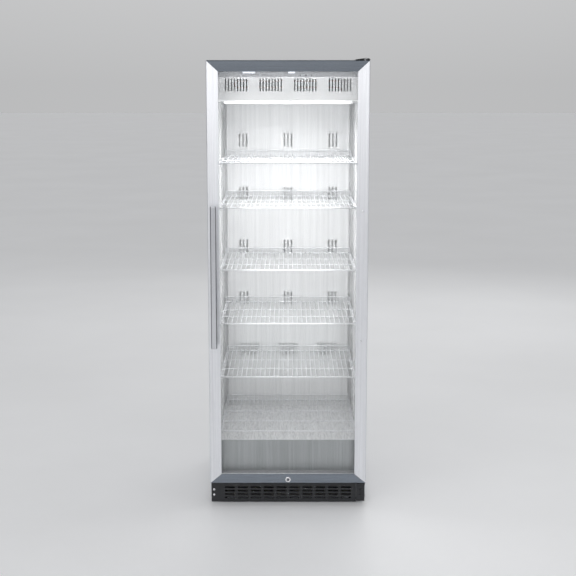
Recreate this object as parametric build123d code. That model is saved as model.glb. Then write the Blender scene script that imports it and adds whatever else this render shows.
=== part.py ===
"""Upright reach-in refrigerator with one glass door, six wire shelves and bottom-mounted cooling.

Millimetres, +Z up. The origin is on the floor under the middle of the overall box, the door faces -Y,
the hinge is on the +X side and the handle on the -X side. One STEP file is written per sub-part.
"""

import os

from build123d import *

# --- Driving dimensions ---------------------------------------------------------------------------
WIDTH = 600.0
DEPTH = 672.0
HEIGHT = 1700.0
HANDLE_REACH = 48.0
DOOR_DEPTH = 44.0
DOOR_GAP = 10.0
DOOR_BOTTOM = 88.0
DOOR_TOP = 1692.0
CABINET_TOP = 1694.0
SHEET = 1.0

# Door rails: visible widths, front lip over the glass and profile wall
RAIL_SIDE = 45.0
RAIL_TOP = 41.0
RAIL_BOTTOM = 37.0
LIP_COVER = 12.0
LIP_DEPTH = 5.0
RAIL_WALL = 2.5
GLASS = 4.0
GLASS_GAP = 12.0
GLASS_PLAY = 1.0
SPACER_WIDTH = 8.0
BEAD_WIDTH = 9.0
GASKET_WIDTH = 11.0
CONTACT_GAP = 0.3

# Insulated box
INNER_X = 270.0
INNER_BACK = 290.0
FLOOR_Z = 245.0
CEILING_Z = 1640.0
FOAM_BOTTOM = 66.0
NICHE_Y = 76.0
NICHE_Z = 188.0
PAN_BOTTOM = 22.0
PAN_SHEET = 2.0

# Hinge
HINGE_X = 282.0
PIN_R = 4.95
PIN_BORE_R = 5.0

# Kick plate and its louvre slots
KICK_SETBACK = 32.0
KICK_SHEET = 1.5
KICK_BOTTOM = 3.0
KICK_TOP = 86.0
KICK_LEFT = -297.0
KICK_RIGHT = 264.0
KICK_COLUMNS = 10
KICK_PITCH_X = 50.1
KICK_ROWS = (61.0, 47.2, 33.4, 19.6)
KICK_SLOT = (38.0, 5.0)
SCREW_LEFT_X = -286.7
SCREW_RIGHT_X = 281.0
SCREW_Z = (52.4, 31.3)
SCREW_R = 4.5
BRACKET_X = (264.5, 297.0)
BRACKET_SHEET = 2.0
FOOT_X = (-255.0, 255.0)
FOOT_Y = (-215.0, 295.0)
FOOT_R = 17.0

# Back sheet: columns and rows of louvres
LOUVRE_X = (-200.0, -80.0, 40.0)
LOUVRE_Z = tuple(range(60, 180, 18))
LOUVRE = (90.0, 6.0)

# Shelves, counted from the top, and their wires
SHELF_Z = (1313.0, 1144.0, 905.0, 697.0, 486.0, 271.0)
SHELF_FRONT = -200.0
SHELF_BACK = 258.0
SHELF_SIDE_X = 259.0
CROSS_Y = (-62.0, 82.0)
FRAME_WIRE_R = 3.0
CROSS_WIRE_R = 2.5
DECK_WIRE_R = 1.5
DECK_WIRES = 29
DECK_PITCH = 18.0
LIP_HEIGHT = 22.0

# Plenum cover, rear duct panel and their air slots
PLENUM_FRONT = -209.0
PLENUM_BOTTOM = 1543.0
PLENUM_HALF = 268.0
VENT_GROUPS_X = (-192.8, -64.3, 64.3, 192.8)
VENT_SLOTS = 8
VENT_PITCH = 11.2
VENT_SLOT = (4.4, 47.0)
VENT_Z = 1603.0
DUCT_FRONT = 268.0
DUCT_HALF = 255.0
DUCT_LOWEST = 465.0
DUCT_ZONE_PITCH = 221.0
DUCT_ZONES = 5
DUCT_SLOT = (6.0, 55.0)
DUCT_PITCH = 14.5

# Pilasters
PILASTER_Y = (-155.0, 72.0)
PILASTER_WIDTH = 20.0
PILASTER_Z = (FLOOR_Z + 8, 1530.0)
PILASTER_SHEET = 3.0
PILASTER_PITCH = 25.0

# Control strip
FASCIA = (262.0, 1631.0, 1667.0)
FASCIA_SHEET = 4.0
BUTTON_X = (45.0, 66.0, 87.0)
BUTTON_Z = 1638.0
BUTTON_R = 3.0
WINDOWS_X = ((-167.0, -123.0), (1.0, 26.0))
WINDOW_Z = (1645.5, 1653.5)
WINDOW_DEEP = 2.0

# Handle and lock
HANDLE_X = -276.0
HANDLE_Z = (627.0, 1163.0)
HANDLE_BAR = (22.0, 14.0)
POST_Z = (646.0, 1139.0)
POST_R = 6.0
LOCK_Z = 103.0
LOCK_BARREL_R = 5.0

# --- Derived planes -------------------------------------------------------------------------------
HALF = WIDTH / 2
HANDLE_FRONT = -DEPTH / 2
DOOR_FRONT = HANDLE_FRONT + HANDLE_REACH
DOOR_BACK = DOOR_FRONT + DOOR_DEPTH
CABINET_FRONT = DOOR_BACK + DOOR_GAP
CABINET_BACK = DEPTH / 2
BOX_FRONT = CABINET_FRONT + SHEET
BOX_BACK = CABINET_BACK - SHEET
BOX_TOP = CABINET_TOP - SHEET
BOX_HALF = HALF - SHEET
HINGE_Y = DOOR_FRONT + DOOR_DEPTH / 2
KICK_FRONT = DOOR_FRONT + KICK_SETBACK
KICK_BACK = KICK_FRONT + KICK_SHEET
PAN_TOP = PAN_BOTTOM + PAN_SHEET


# --- Building blocks ------------------------------------------------------------------------------
def block(x0, x1, y0, y1, z0, z1):
    """A box between two corners."""
    middle = Pos((x0 + x1) / 2, (y0 + y1) / 2, (z0 + z1) / 2)
    return middle * Box(x1 - x0, y1 - y0, z1 - z0)


def rod_x(x0, x1, y, z, r):
    """A round bar along X."""
    return Pos((x0 + x1) / 2, y, z) * Rot(0, 90, 0) * Cylinder(r, x1 - x0)


def rod_y(x, y0, y1, z, r):
    """A round bar along Y."""
    return Pos(x, (y0 + y1) / 2, z) * Rot(90, 0, 0) * Cylinder(r, y1 - y0)


def rod_z(x, y, z0, z1, r):
    """A round bar along Z."""
    return Pos(x, y, (z0 + z1) / 2) * Cylinder(r, z1 - z0)


def prism_y(points, y0, y1):
    """An XZ outline carried along Y."""
    outline = Polyline([(x, y0, z) for x, z in points], close=True)
    return extrude(make_face(outline), amount=y1 - y0, dir=(0, 1, 0))


def ring_y(outer, inner, y0, y1):
    """A rectangular frame; each of outer and inner is (half width, low z, high z)."""
    whole = block(-outer[0], outer[0], y0, y1, outer[1], outer[2])
    return whole - block(-inner[0], inner[0], y0 - 1, y1 + 1, inner[1], inner[2])


def pipe(points, radius, bend):
    """A round tube: straight runs joined by arcs."""
    path = FilletPolyline(*points, radius=bend)
    start = Plane(origin=path @ 0, z_dir=path % 0)
    return sweep(start * Circle(radius), path=path)


def save(name, *solids):
    """Write one sub-part, a single solid or a group of separate ones."""
    shape = solids[0] if len(solids) == 1 else Compound(children=list(solids))
    export_step(shape, f"parts/{name}.step")


# --- Cabinet --------------------------------------------------------------------------------------
def cavity(grow):
    """The refrigerated space above the machine niche, grown outwards by grow."""
    half = INNER_X + grow
    return block(-half, half, BOX_FRONT - 1, INNER_BACK + grow, FLOOR_Z - grow, CEILING_Z + grow)


def make_cabinet():
    low, high = PAN_BOTTOM, BOX_TOP
    save("side_panel_left", block(-HALF, -BOX_HALF, BOX_FRONT, BOX_BACK, low, high))
    save("side_panel_right", block(BOX_HALF, HALF, BOX_FRONT, BOX_BACK, low, high))
    save("top_panel", block(-HALF, HALF, BOX_FRONT, CABINET_BACK, BOX_TOP, CABINET_TOP))
    save("front_frame", make_front_frame())
    save("rear_panel", make_rear_panel())
    foam = block(-BOX_HALF, BOX_HALF, BOX_FRONT, BOX_BACK, FOAM_BOTTOM, BOX_TOP)
    niche = block(-HALF, HALF, NICHE_Y, CABINET_BACK, FOAM_BOTTOM - 1, NICHE_Z)
    save("foam_core", foam - cavity(SHEET) - niche)
    front_cut = block(-HALF, HALF, BOX_FRONT - 5, BOX_FRONT, FOAM_BOTTOM, CABINET_TOP)
    save("inner_liner", cavity(SHEET) - cavity(0) - front_cut)
    save("base_pan", make_base_pan())


def make_front_frame():
    """The sheet ring that the gasket seals on."""
    whole = block(-HALF, HALF, CABINET_FRONT, BOX_FRONT, FOAM_BOTTOM, CABINET_TOP)
    return whole - block(-INNER_X, INNER_X, CABINET_FRONT - 1, BOX_FRONT + 1, FLOOR_Z, CEILING_Z)


def make_rear_panel():
    """The back sheet with cooling louvres for the machine niche and a cut-out for the power inlet."""
    panel = block(-HALF, HALF, BOX_BACK, CABINET_BACK, PAN_BOTTOM, BOX_TOP)
    slots = [
        block(x - LOUVRE[0] / 2, x + LOUVRE[0] / 2, BOX_BACK - 1, CABINET_BACK + 1, z, z + LOUVRE[1])
        for x in LOUVRE_X
        for z in LOUVRE_Z
    ]
    return panel - slots - block(*INLET[:2], BOX_BACK - 1, CABINET_BACK + 1, *INLET[2:])


def make_base_pan():
    """The folded pan under the box, with two front tabs that hold the kick plate and the lower hinge."""
    sides = [
        block(min(a, b), max(a, b), KICK_BACK, BOX_BACK, PAN_TOP, FOAM_BOTTOM)
        for a, b in ((-BOX_HALF, PAN_SHEET - BOX_HALF), (BOX_HALF - PAN_SHEET, BOX_HALF))
    ]
    tabs = [
        block(-BOX_HALF, -BOX_HALF + 26, KICK_BACK, KICK_BACK + PAN_SHEET, PAN_TOP, 84),
        block(BOX_HALF - 40, BOX_HALF, KICK_BACK, KICK_BACK + PAN_SHEET, PAN_TOP, 84),
    ]
    floor = block(-BOX_HALF, BOX_HALF, KICK_BACK, BOX_BACK, PAN_BOTTOM, PAN_TOP)
    return floor + sides + tabs


def make_kick_plate():
    """Black plate with ten columns of four horizontal slots."""
    plate = block(KICK_LEFT, KICK_RIGHT, KICK_FRONT, KICK_BACK, KICK_BOTTOM, KICK_TOP)
    columns = [KICK_PITCH_X * (i - (KICK_COLUMNS - 1) / 2) for i in range(KICK_COLUMNS)]
    half, tall = KICK_SLOT[0] / 2, KICK_SLOT[1] / 2
    slots = [
        block(x - half, x + half, KICK_FRONT - 1, KICK_BACK + 1, z - tall, z + tall)
        for x in columns
        for z in KICK_ROWS
    ]
    return plate - slots


def make_base_fittings():
    save("kick_plate", make_kick_plate())
    screws = [
        rod_y(x, face - 2.5, face, z, SCREW_R) - block(x - 3, x + 3, face - 3, face - 1.5, z - 0.6, z + 0.6)
        for x, face in ((SCREW_LEFT_X, KICK_FRONT), (SCREW_RIGHT_X, KICK_FRONT - BRACKET_SHEET))
        for z in SCREW_Z
    ]
    save("screws", *screws)
    feet = [
        rod_z(x, y, 0, 8, FOOT_R) + rod_z(x, y, 8, 14, 9) + rod_z(x, y, 14, PAN_BOTTOM, 5)
        for x in FOOT_X
        for y in FOOT_Y
    ]
    save("levelling_feet", *feet)


# --- Hinge ----------------------------------------------------------------------------------------
ARM_TOP = 84.0
ARM_SHEET = 4.0
PLATE_TOP = CABINET_TOP + 3


def make_hinge():
    upright = block(*BRACKET_X, KICK_FRONT - BRACKET_SHEET, KICK_BACK, 6, ARM_TOP)
    arm = block(*BRACKET_X, HINGE_Y - 16, KICK_BACK, ARM_TOP - ARM_SHEET, ARM_TOP)
    hole = rod_z(HINGE_X, HINGE_Y, ARM_TOP - ARM_SHEET - 1, ARM_TOP + 1, PIN_R + 0.1)
    save("bottom_hinge_bracket", upright + arm - hole)
    plate = block(262, 298, HINGE_Y - 14, -170, CABINET_TOP, PLATE_TOP)
    save("top_hinge_plate", plate - rod_z(HINGE_X, HINGE_Y, CABINET_TOP - 1, PLATE_TOP + 1, PIN_R + 0.1))
    lower = rod_z(HINGE_X, HINGE_Y, ARM_TOP - ARM_SHEET, 125, PIN_R)
    lower += rod_z(HINGE_X, HINGE_Y, ARM_TOP - ARM_SHEET - 2, ARM_TOP - ARM_SHEET, 7)
    lower += rod_z(HINGE_X, HINGE_Y, ARM_TOP, DOOR_BOTTOM - CONTACT_GAP, 9)
    upper = rod_z(HINGE_X, HINGE_Y, 1655, PLATE_TOP, PIN_R)
    upper += rod_z(HINGE_X, HINGE_Y, PLATE_TOP, PLATE_TOP + 1, 7)
    save("hinge_pins", lower, upper)
    crest = [(248, 1697.5), (286, HEIGHT), (296, 1699.5), (HALF, 1697)]
    shell = prism_y([(248, CABINET_TOP), *crest, (HALF, CABINET_TOP)], DOOR_FRONT + 2, -165)
    inner = [(250, 1696.5), (286, HEIGHT - 1.2), (295, 1698.3), (298.8, 1696.3)]
    hollow = prism_y([(250, CABINET_TOP - 1), *inner, (298.8, CABINET_TOP - 1)], DOOR_FRONT + 4, -167)
    save("top_hinge_cover", shell - hollow)


# --- Door -----------------------------------------------------------------------------------------
def side_strip(sign, a, b):
    """Outline of a side rail between insets a and b from its outer edge, cut along the mitres."""
    points = []
    for inset, order in ((a, 1), (b, -1)):
        x = sign * (HALF - inset)
        low = DOOR_BOTTOM + inset * RAIL_BOTTOM / RAIL_SIDE
        high = DOOR_TOP - inset * RAIL_TOP / RAIL_SIDE
        points += [(x, low), (x, high)][::order]
    return points


def level_strip(edge, direction, width, a, b):
    """Outline of the top or bottom rail between insets a and b from its outer edge."""
    points = []
    for inset, order in ((a, 1), (b, -1)):
        reach = HALF - inset * RAIL_SIDE / width
        z = edge + direction * inset
        points += [(-reach, z), (reach, z)][::order]
    return points


def make_rail(strip, width):
    """A hollow rail: a full-width lip in front of the glass and a narrower box behind it."""
    box = width - LIP_COVER
    lip = prism_y(strip(0, width), DOOR_FRONT, DOOR_FRONT + LIP_DEPTH)
    body = prism_y(strip(0, box), DOOR_FRONT + LIP_DEPTH, DOOR_BACK)
    core = prism_y(strip(RAIL_WALL, box - RAIL_WALL), DOOR_FRONT + RAIL_WALL, DOOR_BACK - RAIL_WALL)
    return lip + body - core


def pane_frame(play):
    """Half width, low and high z of the glazing pocket, less a play all round."""
    half = HALF - RAIL_SIDE + LIP_COVER - play
    low = DOOR_BOTTOM + RAIL_BOTTOM - LIP_COVER + play
    high = DOOR_TOP - RAIL_TOP + LIP_COVER - play
    return half, low, high


def shrink(frame, by):
    """The same frame, smaller by a margin all round."""
    return frame[0] - by, frame[1] + by, frame[2] - by


def make_door():
    pin_hole = rod_z(HINGE_X, HINGE_Y, 0, HEIGHT, PIN_R + 1.2)
    lock_hole = rod_y(0, DOOR_FRONT - 1, DOOR_BACK + 1, LOCK_Z, 7.2)
    save("door_rail_left", make_rail(lambda a, b: side_strip(-1, a, b), RAIL_SIDE))
    save("door_rail_right", make_rail(lambda a, b: side_strip(1, a, b), RAIL_SIDE))
    top = make_rail(lambda a, b: level_strip(DOOR_TOP, -1, RAIL_TOP, a, b), RAIL_TOP)
    save("door_rail_top", top - pin_hole)
    bottom = make_rail(lambda a, b: level_strip(DOOR_BOTTOM, 1, RAIL_BOTTOM, a, b), RAIL_BOTTOM)
    save("door_rail_bottom", bottom - pin_hole - lock_hole)

    bore = rod_z(HINGE_X, HINGE_Y, 0, HEIGHT, PIN_BORE_R)
    blocks = [
        block(273, 297, DOOR_FRONT + 3, DOOR_BACK - 3, z0, z1) - bore
        for z0, z1 in ((DOOR_BOTTOM + 3, 140), (1640, DOOR_TOP - 3))
    ]
    save("door_corner_blocks", *blocks)

    pocket, pane = pane_frame(0), pane_frame(GLASS_PLAY)
    y = DOOR_FRONT + LIP_DEPTH
    save("outer_glass", block(-pane[0], pane[0], y, y + GLASS, pane[1], pane[2]))
    y += GLASS
    save("glass_spacer", ring_y(pane, shrink(pane, SPACER_WIDTH), y, y + GLASS_GAP))
    y += GLASS_GAP
    save("inner_glass", block(-pane[0], pane[0], y, y + GLASS, pane[1], pane[2]))
    y += GLASS
    save("glazing_bead", ring_y(pocket, shrink(pocket, BEAD_WIDTH), y, DOOR_BACK))
    seal = (281.0, 112.0 - 0.5, 1680.0)
    save("door_gasket", ring_y(seal, shrink(seal, GASKET_WIDTH), DOOR_BACK, CABINET_FRONT - CONTACT_GAP))


def make_handle():
    wide, deep = HANDLE_BAR
    section = RectangleRounded(wide, deep, deep / 2 - 0.5)
    middle = Pos(HANDLE_X, HANDLE_FRONT + deep / 2, HANDLE_Z[0])
    bar = extrude(middle * section, amount=HANDLE_Z[1] - HANDLE_Z[0], dir=(0, 0, 1))
    save("handle_bar", bar)
    save("handle_posts", *[rod_y(HANDLE_X, HANDLE_FRONT + deep, DOOR_FRONT, z, POST_R) for z in POST_Z])
    save("handle_plugs", *[rod_y(-HANDLE_X, DOOR_FRONT - 1.2, DOOR_FRONT, z, 4) for z in POST_Z])


def make_lock():
    bezel = rod_y(0, DOOR_FRONT - 2, DOOR_FRONT, LOCK_Z, 10.5)
    tube = rod_y(0, DOOR_FRONT, DOOR_BACK, LOCK_Z, 7.2)
    bore = rod_y(0, DOOR_FRONT - 3, DOOR_BACK + 1, LOCK_Z, LOCK_BARREL_R + 0.05)
    save("lock_housing", bezel + tube - bore)
    cam_back = DOOR_BACK + 6.5
    barrel = rod_y(0, DOOR_FRONT - 2.5, cam_back - 2, LOCK_Z, LOCK_BARREL_R)
    keyway = block(-0.8, 0.8, DOOR_FRONT - 3, DOOR_FRONT + 3, LOCK_Z - 3.2, LOCK_Z + 3.2)
    save("lock_barrel", barrel - keyway)
    cam = rod_y(0, cam_back - 2, cam_back, LOCK_Z, 6) + rod_y(-13, cam_back - 2, cam_back, LOCK_Z, 4)
    cam += prism_y([(0, 97), (0, 109), (-13, 107), (-13, 99)], cam_back - 2, cam_back)
    save("lock_cam", cam)
    keeper = block(-9, 9, CABINET_FRONT - 8, CABINET_FRONT, 80, 82)
    keeper += block(-9, 9, CABINET_FRONT - 8, CABINET_FRONT - 6.5, 82, 94)
    keeper += block(-9, 9, CABINET_FRONT - 1.5, CABINET_FRONT, 68, 80)
    save("lock_keeper", keeper)


# --- Inside ---------------------------------------------------------------------------------------
def deck_wire_x():
    return [DECK_PITCH * (i - (DECK_WIRES - 1) / 2) for i in range(DECK_WIRES)]


def make_shelf():
    """Wire shelf at z = 0 of its frame wires: a welded deck and its upturned rear lip."""
    side = SHELF_SIDE_X
    front, back = SHELF_FRONT, SHELF_BACK
    deck_z = CROSS_WIRE_R + DECK_WIRE_R - 0.6
    wires = [rod_x(-side - FRAME_WIRE_R, side + FRAME_WIRE_R, y, 0, FRAME_WIRE_R) for y in (front, back)]
    wires += [rod_y(x, front, back, 0, FRAME_WIRE_R) for x in (-side, side)]
    wires += [rod_x(-side, side, y, 0, CROSS_WIRE_R) for y in CROSS_Y]
    wires += [rod_y(x, front, back, deck_z, DECK_WIRE_R) for x in deck_wire_x()]
    deck = wires[0].fuse(*wires[1:])
    top = LIP_HEIGHT
    foot = deck_z + DECK_WIRE_R + 0.2
    posts = [rod_z(x, back, foot, top, DECK_WIRE_R) for x in deck_wire_x()]
    lip = rod_x(-side, side, back, top, CROSS_WIRE_R).fuse(*posts)
    return deck, lip


def make_shelves():
    deck, lip = make_shelf()
    for number, z in enumerate(SHELF_Z, start=1):
        save(f"shelf_{number}", Pos(0, 0, z) * deck, Pos(0, 0, z) * lip)
    clips = []
    for z in SHELF_Z:
        top = z - FRAME_WIRE_R - 0.2
        for y in PILASTER_Y:
            for a, b in ((-267, -256), (256, 267)):
                clips.append(block(a, b, y - 6, y + 6, top - 8, top))
    save("shelf_clips", *clips)


def make_pilasters():
    strips = []
    for side in (-1, 1):
        edges = sorted((side * INNER_X, side * (INNER_X - PILASTER_SHEET)))
        for y in PILASTER_Y:
            low, high = PILASTER_Z
            strip = block(*edges, y - PILASTER_WIDTH / 2, y + PILASTER_WIDTH / 2, low, high)
            count = int((high - 10 - low) // PILASTER_PITCH)
            slots = [
                block(edges[0] - 1, edges[1] + 1, y - 5, y + 5, z - 4, z + 4)
                for z in (low + 15 + PILASTER_PITCH * i for i in range(count))
            ]
            strips.append(strip - slots)
    save("pilasters", *strips)


def make_air_panels():
    """Plenum cover at the top with its front vents, and the rear duct panel with five slot zones."""
    front = block(-PLENUM_HALF, PLENUM_HALF, PLENUM_FRONT, PLENUM_FRONT + 1.5, PLENUM_BOTTOM, CEILING_Z)
    under = block(
        -PLENUM_HALF, PLENUM_HALF, PLENUM_FRONT, DUCT_FRONT, PLENUM_BOTTOM, PLENUM_BOTTOM + 1.5
    )
    wide, tall = VENT_SLOT[0] / 2, VENT_SLOT[1] / 2
    vents = [
        block(x - wide, x + wide, PLENUM_FRONT - 1, PLENUM_FRONT + 3, VENT_Z - tall, VENT_Z + tall)
        for group in VENT_GROUPS_X
        for x in (group + VENT_PITCH * (i - (VENT_SLOTS - 1) / 2) for i in range(VENT_SLOTS))
    ]
    save("plenum_cover", front + under - vents)

    duct = block(-DUCT_HALF, DUCT_HALF, DUCT_FRONT, INNER_BACK, FLOOR_Z, CEILING_Z)
    inside = DUCT_HALF - 1.5
    duct -= block(-inside, inside, DUCT_FRONT + 1.5, INNER_BACK + 1, FLOOR_Z - 1, CEILING_Z + 1)
    slots = []
    for zone in range(DUCT_ZONES):
        z = DUCT_LOWEST + DUCT_ZONE_PITCH * zone
        count, reach = (6, 163.0) if zone == 0 else (3, 186.0)
        for group in (-reach, 0.0, reach):
            for i in range(count):
                x = group + DUCT_PITCH * (i - (count - 1) / 2)
                low, high = x - DUCT_SLOT[0] / 2, x + DUCT_SLOT[0] / 2
                slots.append(block(low, high, DUCT_FRONT - 1, DUCT_FRONT + 3, z, z + DUCT_SLOT[1]))
    save("duct_panel", duct - slots)


def make_controls():
    half, low, high = FASCIA
    front = CABINET_FRONT - FASCIA_SHEET
    strip = block(-half, half, front, CABINET_FRONT, low, high)
    windows = [block(*ends, front, front + WINDOW_DEEP, *WINDOW_Z) for ends in WINDOWS_X]
    keys = [rod_y(x, front - 1, CABINET_FRONT + 1, BUTTON_Z, BUTTON_R + 0.25) for x in BUTTON_X]
    save("control_fascia", strip - windows - keys)
    save("display_window", *windows)
    for number, x in enumerate(BUTTON_X, start=1):
        save(f"button_{number}", rod_y(x, front - 2, front + 1.5, BUTTON_Z, BUTTON_R))
    lamp = block(-240, 240, -202, -178, PLENUM_BOTTOM - 9, PLENUM_BOTTOM)
    save("lamp_bar", chamfer(lamp.edges().filter_by(Axis.X).group_by(Axis.Z)[0], 3))


# --- Cooling --------------------------------------------------------------------------------------
INLET = (221.0, 249.0, 61.0, 85.0)
FAN_X = -170.0
FAN_Z = 105.0
COMPRESSOR = (150.0, 212.0)


def fan_blade(x, y, z, radius, hub, width, tail):
    """Five pitched blades on a hub whose shaft reaches back into the motor."""
    disc = rod_y(x, y, y + width, z, hub)
    disc += rod_y(x, y + width, y + width + tail, z, 2.5)
    vane = Pos(0, 0, (radius + hub) / 2 - 1) * Rot(0, 0, 32) * Box(radius * 0.62, 1.5, radius - hub)
    vanes = [Pos(x, y + width / 2, z) * Rot(0, 72 * i, 0) * vane for i in range(5)]
    reach = rod_y(x, y - width, y + 2 * width, z, radius)
    return disc.fuse(*[v & reach for v in vanes])


def motor(x, y0, y1, z, radius):
    """A round motor with a blind bore for the fan's shaft."""
    return rod_y(x, y0, y1, z, radius) - rod_y(x, y0 - 1, y0 + 16, z, 2.55)


def finned_block(x0, x1, y0, y1, z0, z1, fins):
    """Fins side by side on a top plate, as one comb, with a tube along each side plate."""
    pitch = (x1 - x0) / fins
    comb = [block(x0, x1, y0, y1, z1 - 2, z1)]
    comb += [block(x0 + pitch * i, x0 + pitch * i + 1.5, y0, y1, z0, z1 - 1) for i in range(fins)]
    comb += [rod_x(x0 - 6, x1 + 6, y, z, 4) for y in (y0 + 10, y1 - 10) for z in (z0 + 14, z1 - 16)]
    return comb[0].fuse(*comb[1:])


def make_cooling():
    cx, cy = COMPRESSOR
    shell = rod_z(cx, cy, 40, 168, 70)
    shell = fillet(shell.edges().filter_by(GeomType.CIRCLE), 26)
    plate = block(cx - 84, cx + 84, cy - 60, cy + 60, 36, 39)
    terminal = block(cx + 71, cx + 96, cy - 22, cy + 22, 70, 120)
    save("compressor", shell + rod_z(cx, cy, 38.5, 60, 40) + plate, terminal)
    mounts = [rod_z(cx + i, cy + j, PAN_TOP, 36, 9) for i in (-74, 74) for j in (-50, 50)]
    save("compressor_mounts", *mounts)

    save("condenser", finned_block(-275, -65, 84, 120, 38, 172, 35))
    shroud = block(-278, -62, 123, 125, PAN_TOP, 176) - rod_y(FAN_X, 122, 126, FAN_Z, 58)
    arms = [block(FAN_X - 66, FAN_X + 66, 172, 176, FAN_Z - 4, FAN_Z + 4)]
    arms += [block(x, x + 4, 125, 176, FAN_Z - 4, FAN_Z + 4) for x in (FAN_X - 66, FAN_X + 62)]
    save("condenser_fan_shroud", shroud.fuse(*arms) - rod_y(FAN_X, 160, 180, FAN_Z, 25))
    save("condenser_fan_motor", motor(FAN_X, 155, 200, FAN_Z, 25))
    save("condenser_fan_blade", fan_blade(FAN_X, 130, FAN_Z, 54, 16, 20, 18))

    tray = block(-285, 40, 225, 325, PAN_TOP, 52) - block(-283, 38, 227, 323, PAN_TOP + 2, 60)
    save("drain_pan", tray)
    liquid = pipe([(cx - 66, cy, 100), (30, cy, 100), (30, 102, 100), (-58, 102, 100)], 3, 12)
    suction = pipe([(cx + 20, cy, 166), (cx + 20, cy, 178), (240, cy, 178), (240, 290, 178)], 4, 8)
    suction += rod_z(240, 290, 178, NICHE_Z, 4)
    save("refrigerant_lines", liquid, suction)
    save("power_inlet", block(*INLET[:2], 318, CABINET_BACK, *INLET[2:]) - block(226, 244, 326, 340, 66, 80))

    save("evaporator", finned_block(-205, 205, 0, 190, 1556, 1632, 34))
    save("evaporator_fan_motor", motor(0, -70, -30, 1593, 20) + block(-4, 4, -60, -40, 1612, CEILING_Z))
    save("evaporator_fan_blade", fan_blade(0, -95, 1593, 38, 12, 16, 18))


def main():
    os.makedirs("parts", exist_ok=True)
    make_cabinet()
    make_base_fittings()
    make_hinge()
    make_door()
    make_handle()
    make_lock()
    make_shelves()
    make_pilasters()
    make_air_panels()
    make_controls()
    make_cooling()


main()
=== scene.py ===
"""Upright glass-door refrigerator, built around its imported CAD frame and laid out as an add-on.

Metres, +Z up, door facing -Y. Each operator makes one piece, or one group of like pieces, as a numpy
surface that rides on its CAD body; the panel in the 3D view's sidebar lists them all.
"""

import functools
import math

import bpy
import numpy as np
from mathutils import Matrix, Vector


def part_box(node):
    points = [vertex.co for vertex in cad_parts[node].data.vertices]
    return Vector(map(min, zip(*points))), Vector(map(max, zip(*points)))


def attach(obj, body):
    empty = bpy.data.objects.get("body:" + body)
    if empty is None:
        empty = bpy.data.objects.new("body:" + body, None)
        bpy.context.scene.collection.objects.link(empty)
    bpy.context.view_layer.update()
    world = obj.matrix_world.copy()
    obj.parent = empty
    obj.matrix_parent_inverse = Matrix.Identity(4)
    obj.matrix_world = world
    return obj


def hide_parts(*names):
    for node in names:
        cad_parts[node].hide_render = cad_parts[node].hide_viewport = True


bl_info = {
    "name": "Reach-in Refrigerator",
    "version": (1, 0, 0),
    "blender": (4, 5, 0),
    "location": "View3D > Sidebar > Refrigerator",
    "description": "Makes an upright glass-door refrigerator piece by piece on its CAD frame",
    "category": "Object",
}

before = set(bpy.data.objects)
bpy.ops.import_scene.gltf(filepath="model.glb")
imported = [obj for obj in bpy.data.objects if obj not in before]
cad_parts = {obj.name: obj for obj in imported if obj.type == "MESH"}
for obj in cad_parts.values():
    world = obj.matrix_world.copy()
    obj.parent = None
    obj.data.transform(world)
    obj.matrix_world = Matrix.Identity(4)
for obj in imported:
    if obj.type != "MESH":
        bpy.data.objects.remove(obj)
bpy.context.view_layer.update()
MM = 0.001
TURN = 2 * math.pi


def span(node):
    """Lowest and highest corner of a CAD node, as two rows of a numpy array."""
    return np.array([tuple(corner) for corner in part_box(node)])


def middle(node):
    """Centre of a CAD node's box."""
    return span(node).mean(0)


# --- Surfaces --------------------------------------------------------------------------------------
class Skin:
    """Grids of points and the faces between them, gathered into one mesh."""

    def __init__(self):
        self.points = []
        self.corners = []
        self.sizes = []
        self.slots = []
        self.total = 0

    def add(self, points, faces, slot=0):
        """Adds a closed shell: points (n, 3) and integer arrays (m, k) with one face's corners a row.

        The faces are turned over when the volume they hold, the sum of p0 . (p1 x p2) over a fan of
        triangles in each face, is negative, so that they point outwards.
        """
        points = np.asarray(points, float).reshape(-1, 3)
        faces = [np.atleast_2d(part) for part in faces]
        local = points - points.mean(0)
        volume = 0.0
        for part in faces:
            for k in range(1, part.shape[1] - 1):
                cross = np.cross(local[part[:, k]], local[part[:, k + 1]])
                volume += (local[part[:, 0]] * cross).sum()
        for part in faces:
            part = part[:, ::-1] if volume < 0 else part
            self.corners.append((part + self.total).ravel())
            self.sizes.append(np.full(len(part), part.shape[1]))
            self.slots.append(np.full(len(part), slot))
        self.points.append(points)
        self.total += len(points)

    def mesh(self, name):
        """The gathered points and faces as a Blender mesh with smooth faces."""
        mesh = bpy.data.meshes.new(name)
        points, corners = np.concatenate(self.points), np.concatenate(self.corners)
        sizes, slots = np.concatenate(self.sizes), np.concatenate(self.slots)
        mesh.vertices.add(len(points))
        mesh.vertices.foreach_set("co", points.astype(np.float32).ravel())
        mesh.loops.add(len(corners))
        mesh.loops.foreach_set("vertex_index", corners.astype(np.int32))
        mesh.polygons.add(len(sizes))
        mesh.polygons.foreach_set("loop_start", (np.cumsum(sizes) - sizes).astype(np.int32))
        mesh.polygons.foreach_set("material_index", slots.astype(np.int32))
        mesh.polygons.foreach_set("use_smooth", np.ones(len(sizes), bool))
        mesh.update(calc_edges=True)
        return mesh


def make_piece(name, skin, finishes, body, nodes, slot, sharp=32):
    """Puts a skin in the scene as one piece: its finishes, the CAD body it rides on and the CAD nodes
    it stands for; the slot argument is not used. Edges steeper than sharp degrees stay crisp."""
    mesh = skin.mesh(name)
    mesh.set_sharp_from_angle(angle=math.radians(sharp))
    for finish in finishes:
        mesh.materials.append(finish)
    piece = bpy.data.objects.new(name, mesh)
    even = piece.modifiers.new("even_shading", "WEIGHTED_NORMAL")
    even.keep_sharp = True
    bpy.context.scene.collection.objects.link(piece)
    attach(piece, body)
    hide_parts(*nodes)
    return piece


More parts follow.
